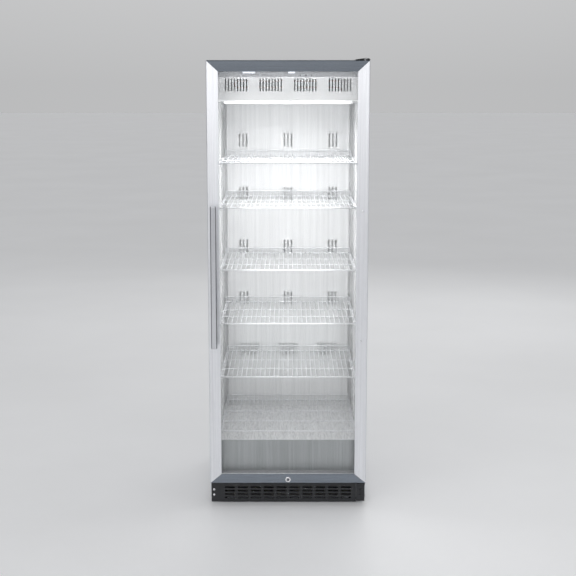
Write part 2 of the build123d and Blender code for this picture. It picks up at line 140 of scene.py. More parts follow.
def finish_node(node, *finishes):
    """Gives a CAD node that keeps its own shape a procedural finish."""
    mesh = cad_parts[node].data
    mesh.materials.clear()
    for finish in finishes:
        mesh.materials.append(finish)


def finish_by_normal(piece, axis, least, slot):
    """Gives one finish to the faces whose normal has more than a share along an axis, and the other of a
    piece's two finishes to the rest."""
    mesh = piece.data
    normals = np.empty(len(mesh.polygons) * 3)
    mesh.polygons.foreach_get("normal", normals)
    along = np.abs(normals.reshape(-1, 3)[:, axis]) > least
    mesh.polygons.foreach_set("material_index", np.where(along, slot, 1 - slot).astype(np.int32))


def grid_faces(rows, columns, around=False, closed=False):
    """Quads between neighbouring rows and columns of a grid of points. Columns wrap round when around
    is true, and the last row meets the first when closed is true."""
    row = np.arange(rows if closed else rows - 1)[:, None]
    column = np.arange(columns if around else columns - 1)[None, :]
    beside, above = (column + 1) % columns, (row + 1) % rows
    corners = (
        row * columns + column,
        row * columns + beside,
        above * columns + beside,
        above * columns + column,
    )
    return np.stack(np.broadcast_arrays(*corners), -1).reshape(-1, 4)


def loft(skin, rings, closed=False, slot=0):
    """Joins closed loops of points, an array (loops, points in a loop, 3), one after another. The two
    ends are closed with one face each, unless the last loop meets the first."""
    rings = np.asarray(rings, float)
    rows, columns = rings.shape[:2]
    faces = [grid_faces(rows, columns, around=True, closed=closed)]
    if not closed:
        first = np.arange(columns)
        faces += [first[::-1], first + (rows - 1) * columns]
    skin.add(rings, faces, slot)


def put(across, up, deep, axis):
    """Points of a shape seen along an axis: across and up lie in the view, deep runs along it."""
    order = {"x": (deep, across, up), "y": (across, deep, up), "z": (across, up, deep)}[axis]
    return np.stack(np.broadcast_arrays(*order), -1)


def rounded_outline(half_wide, half_tall, radius, steps=5):
    """A rectangle with quarter circles of the given radius at its corners, anticlockwise:
    x = side (half width - radius) + radius cos a, y the same with the sine."""
    turn = np.linspace(0, math.pi / 2, steps)
    angle = (np.arange(4)[:, None] * math.pi / 2 + turn).ravel()
    side = np.repeat([1, -1, -1, 1], steps)
    level = np.repeat([1, 1, -1, -1], steps)
    x = side * (half_wide - radius) + radius * np.cos(angle)
    y = level * (half_tall - radius) + radius * np.sin(angle)
    return np.stack(np.broadcast_arrays(x, y), -1)


def rolled(edge, steps=4):
    """Insets and depths of a quarter-round edge, from the face to the side: inset = edge (1 - sin a),
    depth = edge (1 - cos a)."""
    angle = np.linspace(0, math.pi / 2, steps)
    return edge * (1 - np.sin(angle)), edge * (1 - np.cos(angle))


def slab(skin, low, high, axis, corner=1 * MM, edge=0.6 * MM, steps=4, slot=0):
    """A block between two corners, with rounded corners seen along an axis and quarter-round edges
    on the two faces across it: a stack of outlines inset by the rolled edge."""
    low, high = np.asarray(low, float), np.asarray(high, float)
    deep = "xyz".index(axis)
    across, up = [i for i in range(3) if i != deep]
    half = (high - low) / 2
    centre = (high + low) / 2
    inset, depth = rolled(edge)
    insets = np.concatenate([inset, inset[::-1]])[:, None]
    levels = np.concatenate([low[deep] + depth, high[deep] - depth[::-1]])[:, None]
    radius = np.maximum(corner - insets, 0.02 * MM)
    outline = rounded_outline(half[across] - insets, half[up] - insets, radius, steps)
    rings = put(centre[across] + outline[..., 0], centre[up] + outline[..., 1], levels, axis)
    loft(skin, rings, slot=slot)


def turned(skin, profile, centre, axis, sides=24, slot=0, closed=False):
    """A profile of (radius, height) pairs turned round an axis through a centre; heights are measured
    from the centre along the axis."""
    profile = np.asarray(profile, float)
    angle = np.arange(sides) * TURN / sides
    radius = np.maximum(profile[:, :1], 0.02 * MM)
    flat = put(radius * np.cos(angle), radius * np.sin(angle), profile[:, 1:], axis)
    loft(skin, flat + np.asarray(centre, float), closed, slot)


def tube(skin, path, radius, sides=10, slot=0, domed=True):
    """A round wire or pipe: circles of a radius across each point of the path, whose ends are domed by
    shrinking the last circles as the square root of one minus the distance squared."""
    path = np.asarray(path, float)
    radii = np.full(len(path), float(radius))
    if domed:
        share = np.sin(np.linspace(0.15, 1.0, 4) * math.pi / 2)
        reach = 1 - np.sqrt(1 - share**2)
        first, last = path[1] - path[0], path[-2] - path[-1]
        first, last = first / np.linalg.norm(first), last / np.linalg.norm(last)
        head = path[0] + first * reach[:, None] * radius
        tail = path[-1] + last * reach[::-1, None] * radius
        path = np.concatenate([head, path[1:-1], tail])
        radii = np.concatenate([radius * share, radii[1:-1], radius * share[::-1]])
    run = np.gradient(path, axis=0)
    run /= np.linalg.norm(run, axis=1, keepdims=True)
    guide = np.eye(3)[np.argmin(np.abs(run).max(0))]
    side = np.cross(run, guide)
    side /= np.linalg.norm(side, axis=1, keepdims=True)
    other = np.cross(run, side)
    angle = (np.arange(sides) + 0.5)[:, None] * TURN / sides
    circle = np.cos(angle) * side[:, None] + np.sin(angle) * other[:, None]
    loft(skin, path[:, None] + circle * radii[:, None, None], slot=slot)


def bent(points, radius, steps=5):
    """A path of straight runs whose corners are arcs. Each arc is laid out from the corner as
    p = corner + cut (u (1 - sin t) + v (1 - cos t)), with u and v pointing back and on along the runs."""
    points = np.asarray(points, float)
    path = [points[:1]]
    angle = np.linspace(0, math.pi / 2, steps)[:, None]
    for before, corner, after in zip(points[:-2], points[1:-1], points[2:]):
        back, on = before - corner, after - corner
        back, on = back / np.linalg.norm(back), on / np.linalg.norm(on)
        path.append(corner + radius * (back * (1 - np.sin(angle)) + on * (1 - np.cos(angle))))
    path.append(points[-1:])
    return np.concatenate(path)


def grow(outline, by):
    """A closed outline (n, 2), anticlockwise, pushed outwards along the mean of its two edges' normals."""
    step = np.roll(outline, -1, 0) - outline
    normal = np.stack([step[:, 1], -step[:, 0]], -1)
    normal /= np.linalg.norm(normal, axis=1, keepdims=True)
    mean = normal + np.roll(normal, 1, 0)
    mean /= np.maximum(np.linalg.norm(mean, axis=1, keepdims=True), 1e-9)
    lean = np.maximum((mean * normal).sum(1, keepdims=True), 0.4)
    return outline + by * mean / lean


def eased(corners, radius, steps=4):
    """A closed outline (n, 2) whose corners are eased with arcs, as bent does along a path. radius is
    one number, or one for each corner."""
    corners = np.asarray(corners, float)
    radius = np.broadcast_to(radius, len(corners))
    back = np.roll(corners, 1, 0) - corners
    on = np.roll(corners, -1, 0) - corners
    back /= np.linalg.norm(back, axis=1, keepdims=True)
    on /= np.linalg.norm(on, axis=1, keepdims=True)
    angle = np.linspace(0, math.pi / 2, steps)[None, :, None]
    arc = back[:, None] * (1 - np.sin(angle)) + on[:, None] * (1 - np.cos(angle))
    return (corners[:, None] + radius[:, None, None] * arc).reshape(-1, 2)


def carry_round(skin, profile, half, low, high, slot=0):
    """A section (inset, depth) carried round an upright rectangle, mitred at its corners: every corner
    of the rectangle has the section at x = side (half - inset), z = low + inset or high - inset."""
    inset, depth = np.asarray(profile, float).T
    rings = [
        put(side * (half - inset), np.where(level > 0, high - inset, low + inset), depth, "y")
        for side, level in ((1, -1), (1, 1), (-1, 1), (-1, -1))
    ]
    loft(skin, rings, closed=True, slot=slot)


def prism(skin, outline, low, high, axis, edge=0.4 * MM, slot=0):
    """An outline carried along an axis with quarter-round edges at both ends."""
    inset, depth = rolled(edge, 3)
    insets = np.concatenate([inset, inset[::-1]])
    levels = np.concatenate([low + depth, high - depth[::-1]])
    outline = np.asarray(outline, float)
    turns = (outline[:, 0] * np.roll(outline[:, 1], -1) - np.roll(outline[:, 0], -1) * outline[:, 1]).sum()
    outline = outline if turns > 0 else outline[::-1]
    rings = [
        put(*grow(outline, -by).T, level, axis) if by > 0 else put(*outline.T, level, axis)
        for by, level in zip(insets, levels)
    ]
    loft(skin, rings, slot=slot)


def lay_flat(axis, near, way=1):
    """Placing rule for a flat sheet seen along an axis; depth runs one way or the other from near."""
    return lambda across, up, deep: put(across, up, near + way * deep, axis)


def punched_sheet(skin, place, u_lines, v_lines, holes, thick, corner, rim=(0, 0), steps=4, slot=0):
    """A sheet with rounded holes, seen from its near side.

    u_lines and v_lines cut it into cells. holes (n, 4) has each hole's centre and half sizes; the cells
    it covers are left out, and fans of triangles join their corners to the hole's outline. From there
    rings go over a pressed rim (its width, its height), through the thickness and back to the far side.
    place turns (across, up, depth) into points, so the same sheet can be laid flat or folded.
    """
    u, v, holes = np.asarray(u_lines, float), np.asarray(v_lines, float), np.asarray(holes, float)
    nu, nv, n = len(u), len(v), len(holes)
    edge = min(0.3 * MM, 0.3 * thick)
    inner_u, inner_v = u.copy(), v.copy()
    inner_u[[0, -1]] += (edge, -edge)
    inner_v[[0, -1]] += (edge, -edge)
    grid_u, grid_v = (a.ravel() for a in np.meshgrid(inner_u, inner_v, indexing="ij"))
    width, height = rim
    foot = ((width, 0.0), (0.45 * width, -height)) if width else ((edge, 0.0),)
    levels = (*foot, (0.0, 0.35 * thick), (0.0, thick))
    centre_u, centre_v, half_u, half_v = (column[:, None] for column in holes.T)
    loops = []
    for by, deep in levels:
        outline = rounded_outline(half_u + by, half_v + by, corner + by, steps)
        loops.append(place(centre_u + outline[..., 0], centre_v + outline[..., 1], deep))
    ring = 4 * steps
    start = 2 * nu * nv

    def loop(level, hole, k):
        return start + (level * n + hole) * ring + k % ring

    low_i = np.searchsorted(u, holes[:, 0] - holes[:, 2]) - 1
    high_i = np.searchsorted(u, holes[:, 0] + holes[:, 2])
    low_j = np.searchsorted(v, holes[:, 1] - holes[:, 3]) - 1
    high_j = np.searchsorted(v, holes[:, 1] + holes[:, 3])
    solid = np.ones((nu - 1, nv - 1), bool)
    sides = []
    for hole, (i0, i1, j0, j1) in enumerate(zip(low_i, high_i, low_j, high_j)):
        solid[i0:i1, j0:j1] = False
        rim_cells = (
            [(i, j1) for i in range(i1, i0 - 1, -1)],
            [(i0, j) for j in range(j1, j0 - 1, -1)],
            [(i, j0) for i in range(i0, i1 + 1)],
            [(i1, j) for j in range(j0, j1 + 1)],
        )
        for q, cells in enumerate(rim_cells):
            ends = [loop(0, hole, (q + 1) * steps), loop(0, hole, q * steps + steps - 1)]
            sides.append(([i * nv + j for i, j in cells], ends))
    cell_i, cell_j = (a.ravel() for a in np.nonzero(solid))
    plain = np.stack([cell_i * nv + cell_j, (cell_i + 1) * nv + cell_j], -1)
    plain = np.concatenate([plain, plain[:, ::-1] + 1], -1)
    hole, q, s = np.meshgrid(np.arange(n), np.arange(4), np.arange(steps - 1), indexing="ij")
    corner_i = np.stack([high_i, low_i, low_i, high_i])[q, hole]
    corner_j = np.stack([high_j, high_j, low_j, low_j])[q, hole]
    at = q * steps + s
    fans = np.stack([corner_i * nv + corner_j, loop(0, hole, at + 1), loop(0, hole, at)], -1).reshape(-1, 3)
    last = (len(levels) - 1) * n * ring
    back = nu * nv

    def far(face):
        return np.where(face < back, face + back, face + last)[..., ::-1]

    faces = [plain, far(plain), fans, far(fans)]
    for near_side, ends in sides:
        face = np.array([*near_side, *ends])[None]
        faces += [face, far(face)]
    level, hole, k = np.meshgrid(np.arange(len(levels) - 1), np.arange(n), np.arange(ring), indexing="ij")
    walls = [loop(level + up, hole, k + on) for up, on in ((0, 0), (0, 1), (1, 1), (1, 0))]
    faces.append(np.stack(walls, -1).reshape(-1, 4))

    i, j = np.arange(nu), np.arange(nv)
    around_i = np.concatenate([i, np.full(nv - 2, nu - 1), i[::-1], np.zeros(nv - 2, int)])
    around_j = np.concatenate([np.zeros(nu, int), j[1:-1], np.full(nu, nv - 1), j[1:-1][::-1]])
    around = around_i * nv + around_j
    size = len(around)
    outer = [place(u[around_i], v[around_j], deep) for deep in (edge, thick - edge)]
    first = start + len(levels) * n * ring
    rings = np.stack([around, first + np.arange(size), first + size + np.arange(size), around + back])
    following = np.roll(rings, -1, 1)
    edges = np.stack([following[:-1], rings[:-1], rings[1:], following[1:]], -1)
    faces.append(edges.reshape(-1, 4))
    points = [place(grid_u, grid_v, 0.0), place(grid_u, grid_v, thick), *loops, *outer]
    skin.add(np.concatenate([p.reshape(-1, 3) for p in points]), faces, slot)


# --- Finishes --------------------------------------------------------------------------------------
class Finish:
    """One procedural material: a principled shader whose patterns read object coordinates."""

    def __init__(self, name, colour, roughness, metallic=0.0, sockets=()):
        self.material = bpy.data.materials.new(f"{name}_finish")
        self.material.use_nodes = True
        self.tree = self.material.node_tree
        self.shader = self.tree.nodes["Principled BSDF"]
        self.colour = tuple(colour)[:3]
        self.shader.inputs["Base Color"].default_value = (*self.colour, 1)
        self.shader.inputs["Roughness"].default_value = roughness
        self.shader.inputs["Metallic"].default_value = metallic
        for socket, value in dict(sockets).items():
            self.shader.inputs[socket].default_value = value
        self.coordinates = self.tree.nodes.new("ShaderNodeTexCoord").outputs["Object"]

    def link(self, source, target):
        self.tree.links.new(source, target)

    def stretched(self, stretch):
        """Object coordinates times a factor for each axis."""
        mapping = self.tree.nodes.new("ShaderNodeMapping")
        mapping.inputs["Scale"].default_value = stretch
        self.link(self.coordinates, mapping.inputs["Vector"])
        return mapping.outputs["Vector"]

    def noise(self, stretch, detail=3.0, roughness=0.55):
        """Noise with so many features a metre along each axis."""
        node = self.tree.nodes.new("ShaderNodeTexNoise")
        node.inputs["Scale"].default_value = 1.0
        node.inputs["Detail"].default_value = detail
        node.inputs["Roughness"].default_value = roughness
        self.link(self.stretched(stretch), node.inputs["Vector"])
        return node.outputs["Fac"]

    def cells(self, scale):
        """Cell pattern with so many cells a metre; each cell has its own value."""
        node = self.tree.nodes.new("ShaderNodeTexVoronoi")
        node.inputs["Scale"].default_value = 1.0
        self.link(self.stretched((scale,) * 3), node.inputs["Vector"])
        return node.outputs["Color"]

    def tint(self, pattern, dark, light, low=0.3, high=0.7):
        """Base colour between two multiples of the finish's own colour."""
        ramp = self.tree.nodes.new("ShaderNodeValToRGB")
        for element, place, share in zip(ramp.color_ramp.elements, (low, high), (dark, light)):
            element.position = place
            element.color = (*(min(1.0, part * share) for part in self.colour), 1)
        self.link(pattern, ramp.inputs["Fac"])
        self.link(ramp.outputs["Color"], self.shader.inputs["Base Color"])
        return self

    def polish(self, pattern, low, high):
        """Roughness between two values where the pattern runs from 0.3 to 0.7."""
        spread = self.tree.nodes.new("ShaderNodeMapRange")
        spread.inputs["From Min"].default_value = 0.3
        spread.inputs["From Max"].default_value = 0.7
        spread.inputs["To Min"].default_value = low
        spread.inputs["To Max"].default_value = high
        self.link(pattern, spread.inputs["Value"])
        self.link(spread.outputs["Result"], self.shader.inputs["Roughness"])
        return self

    def relief(self, pattern, depth, strength=1.0):
        """Bumps as high as depth metres, on top of the relief already there."""
        bump = self.tree.nodes.new("ShaderNodeBump")
        bump.inputs["Strength"].default_value = strength
        bump.inputs["Distance"].default_value = depth
        self.link(pattern, bump.inputs["Height"])
        normal = self.shader.inputs["Normal"]
        if normal.is_linked:
            self.link(normal.links[0].from_socket, bump.inputs["Normal"])
        self.link(bump.outputs["Normal"], normal)
        return self


def brushed(name, colour, along, rough=(0.24, 0.42), metallic=1.0, contrast=0.08):
    """Brushed metal: fine and broad streaks along one axis drive colour, roughness and relief."""
    made = Finish(name, colour, sum(rough) / 2, metallic)
    fine = [1500.0] * 3
    broad = [210.0] * 3
    fine["xyz".index(along)] = 9.0
    broad["xyz".index(along)] = 1.6
    streaks, bands = made.noise(fine, 2.0, 0.6), made.noise(broad, 4.0, 0.7)
    made.tint(bands, 1 - contrast, 1 + contrast).polish(streaks, *rough)
    return made.relief(streaks, 0.00001).relief(bands, 0.000012).material


def shared(make):
    """Lets a finish function make its material once, and find it by name from then on."""

    @functools.wraps(make)
    def found():
        return bpy.data.materials.get(f"{make.__name__}_finish") or make()

    return found


@shared
def stainless_upright():
    """Door sides and cabinet skins, brushed up and down."""
    return brushed("stainless_upright", bpy.context.scene.reachin_finishes.stainless, "z")


def shaded_level_stainless(name, shade):
    """Door rails that lie flat, brushed side to side. Their base colour is painted darker than the upright
    stainless and scaled by shade: painted reflection of the darker room and painted shade.
    """
    level = np.array(bpy.context.scene.reachin_finishes.shaded_level_stainless) * shade
    return brushed(name, level, "x", (0.2, 0.34))


@shared
def handle_steel():
    """Satin tube of the handle, drawn along its length."""
    return brushed("handle_steel", (0.66, 0.67, 0.70), "z", (0.16, 0.28), contrast=0.05)


@shared
def flank_shade_and_dark_steel():
    """Dark steel: on the handle's flanks it is painted shade and painted reflection of the dark room beside
    the handle; on the face of the lock's plug it is the plug's own dark steel.
    """
    return brushed("flank_shade_and_dark_steel", (0.15, 0.155, 0.17), "z", (0.2, 0.34), contrast=0.1)


@shared
def bright_steel():
    """Plated steel: nearly a mirror, with faint cloudy wear."""
    made = Finish("bright_steel", (0.82, 0.82, 0.84), 0.12, 1.0)
    cloud = made.noise((160, 160, 160), 4.0)
    return made.tint(cloud, 0.92, 1.04).polish(cloud, 0.08, 0.2).relief(cloud, 0.00001).material


@shared
def zinc():
    """Zinc plating with a dull passivated cloudiness."""
    made = Finish("zinc", (0.66, 0.67, 0.69), 0.38, 1.0)
    cloud = made.noise((90, 90, 90), 5.0, 0.65)
    return made.tint(cloud, 0.82, 1.08).polish(cloud, 0.3, 0.5).relief(cloud, 0.00002).material


@shared
def galvanised():
    """Hot-dip sheet with spangle: every crystal has its own shade and gloss."""
    made = Finish("galvanised", (0.60, 0.62, 0.64), 0.4, 0.9)
    spangle, cloud = made.cells(110), made.noise((14, 14, 14), 4.0)
    return made.tint(spangle, 0.82, 1.1, 0.1, 0.9).polish(cloud, 0.3, 0.48).relief(spangle, 0.00001).material


@shared
def aluminium():
    """Mill-finish strip of the fins and the pane spacer."""
    made = Finish("aluminium", (0.78, 0.79, 0.80), 0.32, 1.0)
    rolled_marks, cloud = made.noise((60, 900, 60), 2.0), made.noise((70, 70, 70), 4.0)
    return made.tint(cloud, 0.88, 1.05).polish(rolled_marks, 0.24, 0.4).material


@shared
def copper():
    """Drawn copper tube, browned in patches where it was brazed."""
    made = Finish("copper", (0.74, 0.40, 0.26), 0.28, 1.0)
    patches = made.noise((45, 45, 45), 5.0, 0.6)
    return made.tint(patches, 0.55, 1.08).polish(patches, 0.42, 0.2).material


@shared
def liner_enamel():
    """Semi-gloss white enamel with a faint orange peel and barely visible handling marks."""
    white = bpy.context.scene.reachin_finishes.enamel
    made = Finish("liner_enamel", white, 0.3, 0.0, {"Coat Weight": 0.15, "Coat Roughness": 0.12})
    peel, marks = made.noise((420, 420, 420), 2.0), made.noise((5, 5, 5), 5.0, 0.6)
    return made.tint(marks, 0.97, 1.01).polish(marks, 0.24, 0.36).relief(peel, 0.00002).material


@shared
def ribbed_enamel():
    """White coated sheet with fine upright rolling streaks, as on the duct panel and the floor."""
    white = bpy.context.scene.reachin_finishes.enamel
    made = Finish("ribbed_enamel", white, 0.3, 0.0, {"Coat Weight": 0.2, "Coat Roughness": 0.1})
    streaks, fine = made.noise((85, 3, 0.6), 3.0, 0.6), made.noise((420, 30, 2), 2.0)
    return made.tint(streaks, 0.9, 1.03).polish(fine, 0.2, 0.36).relief(streaks, 0.00008).material


@shared
def wire_coat():
    """White nylon coating on the shelf wires, slightly uneven and glossier on the crests."""
    made = Finish("wire_coat", bpy.context.scene.reachin_finishes.wire, 0.3, 0.0, {"Coat Weight": 0.3})
    drips = made.noise((110, 60, 110), 3.0)
    return made.tint(drips, 0.93, 1.03).polish(drips, 0.22, 0.4).relief(drips, 0.00006).material


@shared
def white_moulding():
    """White polyamide of the shelf clips."""
    made = Finish("white_moulding", (0.86, 0.87, 0.88), 0.42)
    grain = made.noise((900, 900, 900), 2.0)
    return made.tint(made.noise((40, 40, 40)), 0.95, 1.02).polish(grain, 0.36, 0.5).material


@shared
def powder_black():
    """Satin black powder coat: fine texture, and dust that lightens broad patches a little."""
    made = Finish("powder_black", bpy.context.scene.reachin_finishes.black, 0.42, 0.0)
    orange_peel, dust = made.noise((700, 700, 700), 3.0), made.noise((9, 9, 9), 5.0, 0.6)
    return made.tint(dust, 0.8, 1.35).polish(dust, 0.34, 0.5).relief(orange_peel, 0.00005).material


@shared
def moulded_black():
    """Black moulding with a leather-like spark-eroded grain."""
    made = Finish("moulded_black", bpy.context.scene.reachin_finishes.black, 0.5)
    grain, scuffs = made.cells(900), made.noise((25, 25, 25), 5.0)
    return made.tint(scuffs, 0.8, 1.4).polish(scuffs, 0.4, 0.58).relief(grain, 0.00003).material


def grey_moulding(name="grey_moulding", colour=(0.70, 0.71, 0.73), rough=(0.36, 0.5)):
    """Grey moulded plastic with a fine etched grain."""
    made = Finish(name, colour, sum(rough) / 2)
    grain, flow = made.noise((1100, 1100, 1100), 2.0), made.noise((12, 3, 12), 4.0)
    return made.tint(flow, 0.94, 1.03).polish(grain, *rough).relief(grain, 0.00002).material


@shared
def seal_rubber():
    """Soft PVC of the door seal, with talc left in its folds."""
    made = Finish("seal_rubber", bpy.context.scene.reachin_finishes.seal, 0.62, 0.0, {"Sheen Weight": 0.1})
    talc = made.noise((30, 200, 30), 4.0)
    return made.tint(talc, 0.85, 1.15).polish(talc, 0.52, 0.72).material


@shared
def mount_rubber():
    """Black rubber of the compressor's mounts and the feet."""
    made = Finish("mount_rubber", (0.03, 0.03, 0.032), 0.7)
    pores = made.noise((500, 500, 500), 3.0)
    return made.tint(pores, 0.8, 1.4).polish(pores, 0.6, 0.8).relief(pores, 0.00005).material


@shared
def foam():
    """Cut rigid foam: cream cells with darker pores."""
    made = Finish("foam", (0.80, 0.74, 0.52), 0.85)
    pores = made.cells(400)
    return made.tint(pores, 0.86, 1.05, 0.1, 0.9).relief(pores, 0.0003).material


def glass(name, alpha):
    """Clear pane, faintly green: little more than its reflection, with smears where it is a little rougher.
    """
    made = Finish(name, (0.80, 0.85, 0.86), 0.02, 0.0, {"Alpha": alpha, "IOR": 1.5})
    return made.polish(made.noise((6, 6, 6), 4.0), 0.015, 0.05).material


@shared
def lamp_diffuser():
    """Opal cover over a strip of white lights: evenly lit, with a faint mottle in the plastic."""
    settings = bpy.context.scene.reachin_stage
    made = Finish("lamp_diffuser", (0.74, 0.75, 0.77), 0.3)
    made.shader.inputs["Emission Color"].default_value = (0.93, 0.97, 1.0, 1)
    made.shader.inputs["Emission Strength"].default_value = settings.lamp_glow
    return made.tint(made.noise((50, 50, 50)), 0.97, 1.0).material


@shared
def display_window():
    """Lit window of the control strip: a pale screen seen through smoked acrylic."""
    made = Finish("display_window", (0.86, 0.88, 0.92), 0.08, 0.0, {"Coat Weight": 0.5})
    made.shader.inputs["Emission Color"].default_value = (0.86, 0.92, 1.0, 1)
    made.shader.inputs["Emission Strength"].default_value = 0.9
    return made.tint(made.noise((1600, 10, 1600), 1.0), 0.92, 1.0).material


@shared
def legend_ink():
    """Grey ink of the plain marks on the control strip."""
    made = Finish("legend_ink", (0.16, 0.17, 0.19), 0.5)
    return made.tint(made.noise((2000, 10, 2000)), 0.85, 1.25).material


# --- Settings --------------------------------------------------------------------------------------
def length(name, description, default, low=0.0, high=10.0):
    """A length a user may change, in metres."""
    return bpy.props.FloatProperty(
        name=name, description=description, default=default, min=low, max=high, unit="LENGTH", precision=4
    )


def number(name, description, default, low, high):
    """A plain number between two limits."""
    return bpy.props.FloatProperty(name=name, description=description, default=default, min=low, max=high)


def count(name, description, default, low=1, high=400):
    """A number of like things."""
    return bpy.props.IntProperty(name=name, description=description, default=default, min=low, max=high)


def colour(name, description, default):
    """A base colour."""
    return bpy.props.FloatVectorProperty(
        name=name, description=description, default=default, size=3, min=0.0, max=1.0, subtype="COLOR"
    )


class FinishSettings(bpy.types.PropertyGroup):
    """Colours of the finishes."""

    stainless: colour("Upright stainless", "Side rails and cabinet skins", (0.80, 0.81, 0.84))
    # Level stainless is painted darker and bluer than the upright stainless: painted reflection of the
    # darker room.
    shaded_level_stainless: colour("Level stainless", "Top and bottom rails", (0.30, 0.335, 0.385))
    enamel: colour("Enamel", "Liner, plenum cover and duct panel", (0.90, 0.905, 0.91))
    wire: colour("Wire coating", "Shelf wires", (0.84, 0.85, 0.87))
    black: colour("Black", "Powder coat and black mouldings", (0.015, 0.016, 0.019))
    seal: colour("Seal", "Door gasket", (0.34, 0.34, 0.36))


class DoorSettings(bpy.types.PropertyGroup):
    """Sizes of the door's details."""

    outer_edge: length("Outer edge", "Radius of the rails' outer front edge", 4.0 * MM)
    inner_edge: length("Inner edge", "Radius of the rails' edge beside the glass", 1.2 * MM)
    mitre_gap: length("Mitre gap", "Play left in each mitred corner of the frame", 0.12 * MM)
    cover: length("Glass cover", "How far the front lip covers the glass", 12.0 * MM)
    handle_edge: length("Handle end edge", "Radius of the handle's ends", 3.0 * MM)
    barrel: length("Lock barrel", "Radius of the lock's barrel", 5.0 * MM)


class ShelfSettings(bpy.types.PropertyGroup):
    """Wires of one shelf."""

    deck_wires: count("Deck wires", "Wires that run front to back", 29)
    frame_radius: length("Frame wire", "Radius of the frame wires", 3.0 * MM)
    cross_radius: length("Cross wire", "Radius of the cross wires", 2.5 * MM)
    deck_radius: length("Deck wire", "Radius of the deck wires", 1.5 * MM)
    bend: length("Lip bend", "Radius of the bend up into the rear lip", 6.0 * MM)
    sides: count("Sides", "Faces round a wire", 8, 6, 24)


class SheetSettings(bpy.types.PropertyGroup):
    """Details of the pressed and folded sheets."""

    rim: length("Louvre rim", "Width of the pressed rim round a louvre slot", 1.6 * MM)
    rim_height: length("Rim height", "How far the rim stands proud", 0.7 * MM)
    fold: length("Fold radius", "Outer radius of a folded edge", 3.0 * MM)
    liner_corner: length("Liner corner", "Radius of the liner's long corners", 9.0 * MM)
    thread_pitch: length("Foot thread", "Pitch of the levelling feet's thread", 2.0 * MM)


class CoolingSettings(bpy.types.PropertyGroup):
    """Details of the cooling machinery."""

    fins: count("Fins", "Fins in a coil", 64)
    fin_thick: length("Fin thickness", "Thickness of one fin", 0.35 * MM)
    blades: count("Blades", "Blades of a fan", 5, 3, 9)


class StageSettings(bpy.types.PropertyGroup):
    """Camera, lights and floor."""

    lens: bpy.props.FloatProperty(
        name="Lens", description="Focal length", default=73.94, unit="CAMERA", min=10.0, max=200.0
    )
    pitch: bpy.props.FloatProperty(
        name="Pitch", description="How far the camera looks down", default=math.radians(9.3), subtype="ANGLE"
    )
    distance: length("Distance", "From the door's front to the camera", 4.37)
    height: length("Height", "Camera above the floor", 1.611)
    shift: number("Shift", "Vertical lens shift, in picture widths", -0.02, -0.05, 0.05)
    lamp_glow: number("Lamp glow", "Brightness of the lamp's own face", 0.2, 0.0, 20.0)
    lamp_power: number("Lamp power", "Light that the lamp gives the shelves", 1.7, 0.0, 100.0)
    room: number("Room", "Brightness of the room all round", 0.82, 0.0, 5.0)
    floor_half: length("Floor", "Half the floor's width", 60.0, 1.0, 200.0)


# --- Door ------------------------------------------------------------------------------------------
def mitred_rail(name, width, edges, place, node, finish):
    """One rail of the door: an L section of (inset from the door's edge, depth) carried along the rail.
    Each point ends on its mitre plane, at edges(inset), and the end faces have rolled edges."""
    settings = bpy.context.scene.reachin_door
    front, back = span(node)[:, 1]
    lip = span("outer_glass")[0, 1]
    cover = settings.cover
    section = eased(
        ((0, front), (width, front), (width, lip), (width - cover, lip), (width - cover, back), (0, back)),
        (settings.outer_edge, settings.inner_edge, 0.4 * MM, 0.4 * MM, 1 * MM, 1 * MM),
        6,
    )
    inset, along = rolled(0.35 * MM, 3)
    rings = []
    for end in (0, 1):
        order = slice(None, None, -1) if end else slice(None)
        for by, run in zip(inset[order], along[order]):
            shape = grow(section, -by) if by else section
            stop = edges(shape[:, 0])[end] + (1 - 2 * end) * (run + settings.mitre_gap)
            rings.append(place(shape[:, 0], stop, shape[:, 1]))
    skin = Skin()
    loft(skin, rings)
    return make_piece(name, skin, [finish], "door", [node], "stainless")


class REACHIN_OT_door_rails(bpy.types.Operator):
    """Four brushed rails mitred at the corners: an L section swept between two mitre planes, with
    points at start + inset * (width of the rail it meets) / (own width)"""

    bl_idname = "reachin.door_rails"
    bl_label = "Door rails"

    def execute(self, context):
        left, top, bottom = span("door_rail_left"), span("door_rail_top"), span("door_rail_bottom")
        half, low, high = -left[0, 0], left[0, 2], left[1, 2]
        side, head, foot = (np.ptp(left[:, 0]), np.ptp(top[:, 2]), np.ptp(bottom[:, 2]))
        upright = stainless_upright()

        def upright_ends(inset):
            return low + inset * foot / side, high - inset * head / side

        for name, way in (("left", -1), ("right", 1)):
            mitred_rail(
                f"rail_{name}",
                side,
                upright_ends,
                lambda inset, along, deep, way=way: put(way * (half - inset), along, deep, "y"),
                f"door_rail_{name}",
                upright,
            )
        # The shade numbers paint the top rail darker than the bottom rail: painted shade, two lit copies of
        # one stainless.
        for name, width, edge, way, shade in (("top", head, high, -1, 0.4), ("bottom", foot, low, 1, 0.75)):
            mitred_rail(
                f"rail_{name}",
                width,
                lambda inset, width=width: (inset * side / width - half, half - inset * side / width),
                lambda inset, along, deep, edge=edge, way=way: put(along, edge + way * inset, deep, "y"),
                f"door_rail_{name}",
                shaded_level_stainless(f"stainless_{name}", shade),
            )
        finish_node("door_corner_blocks", moulded_black())
        return {"FINISHED"}


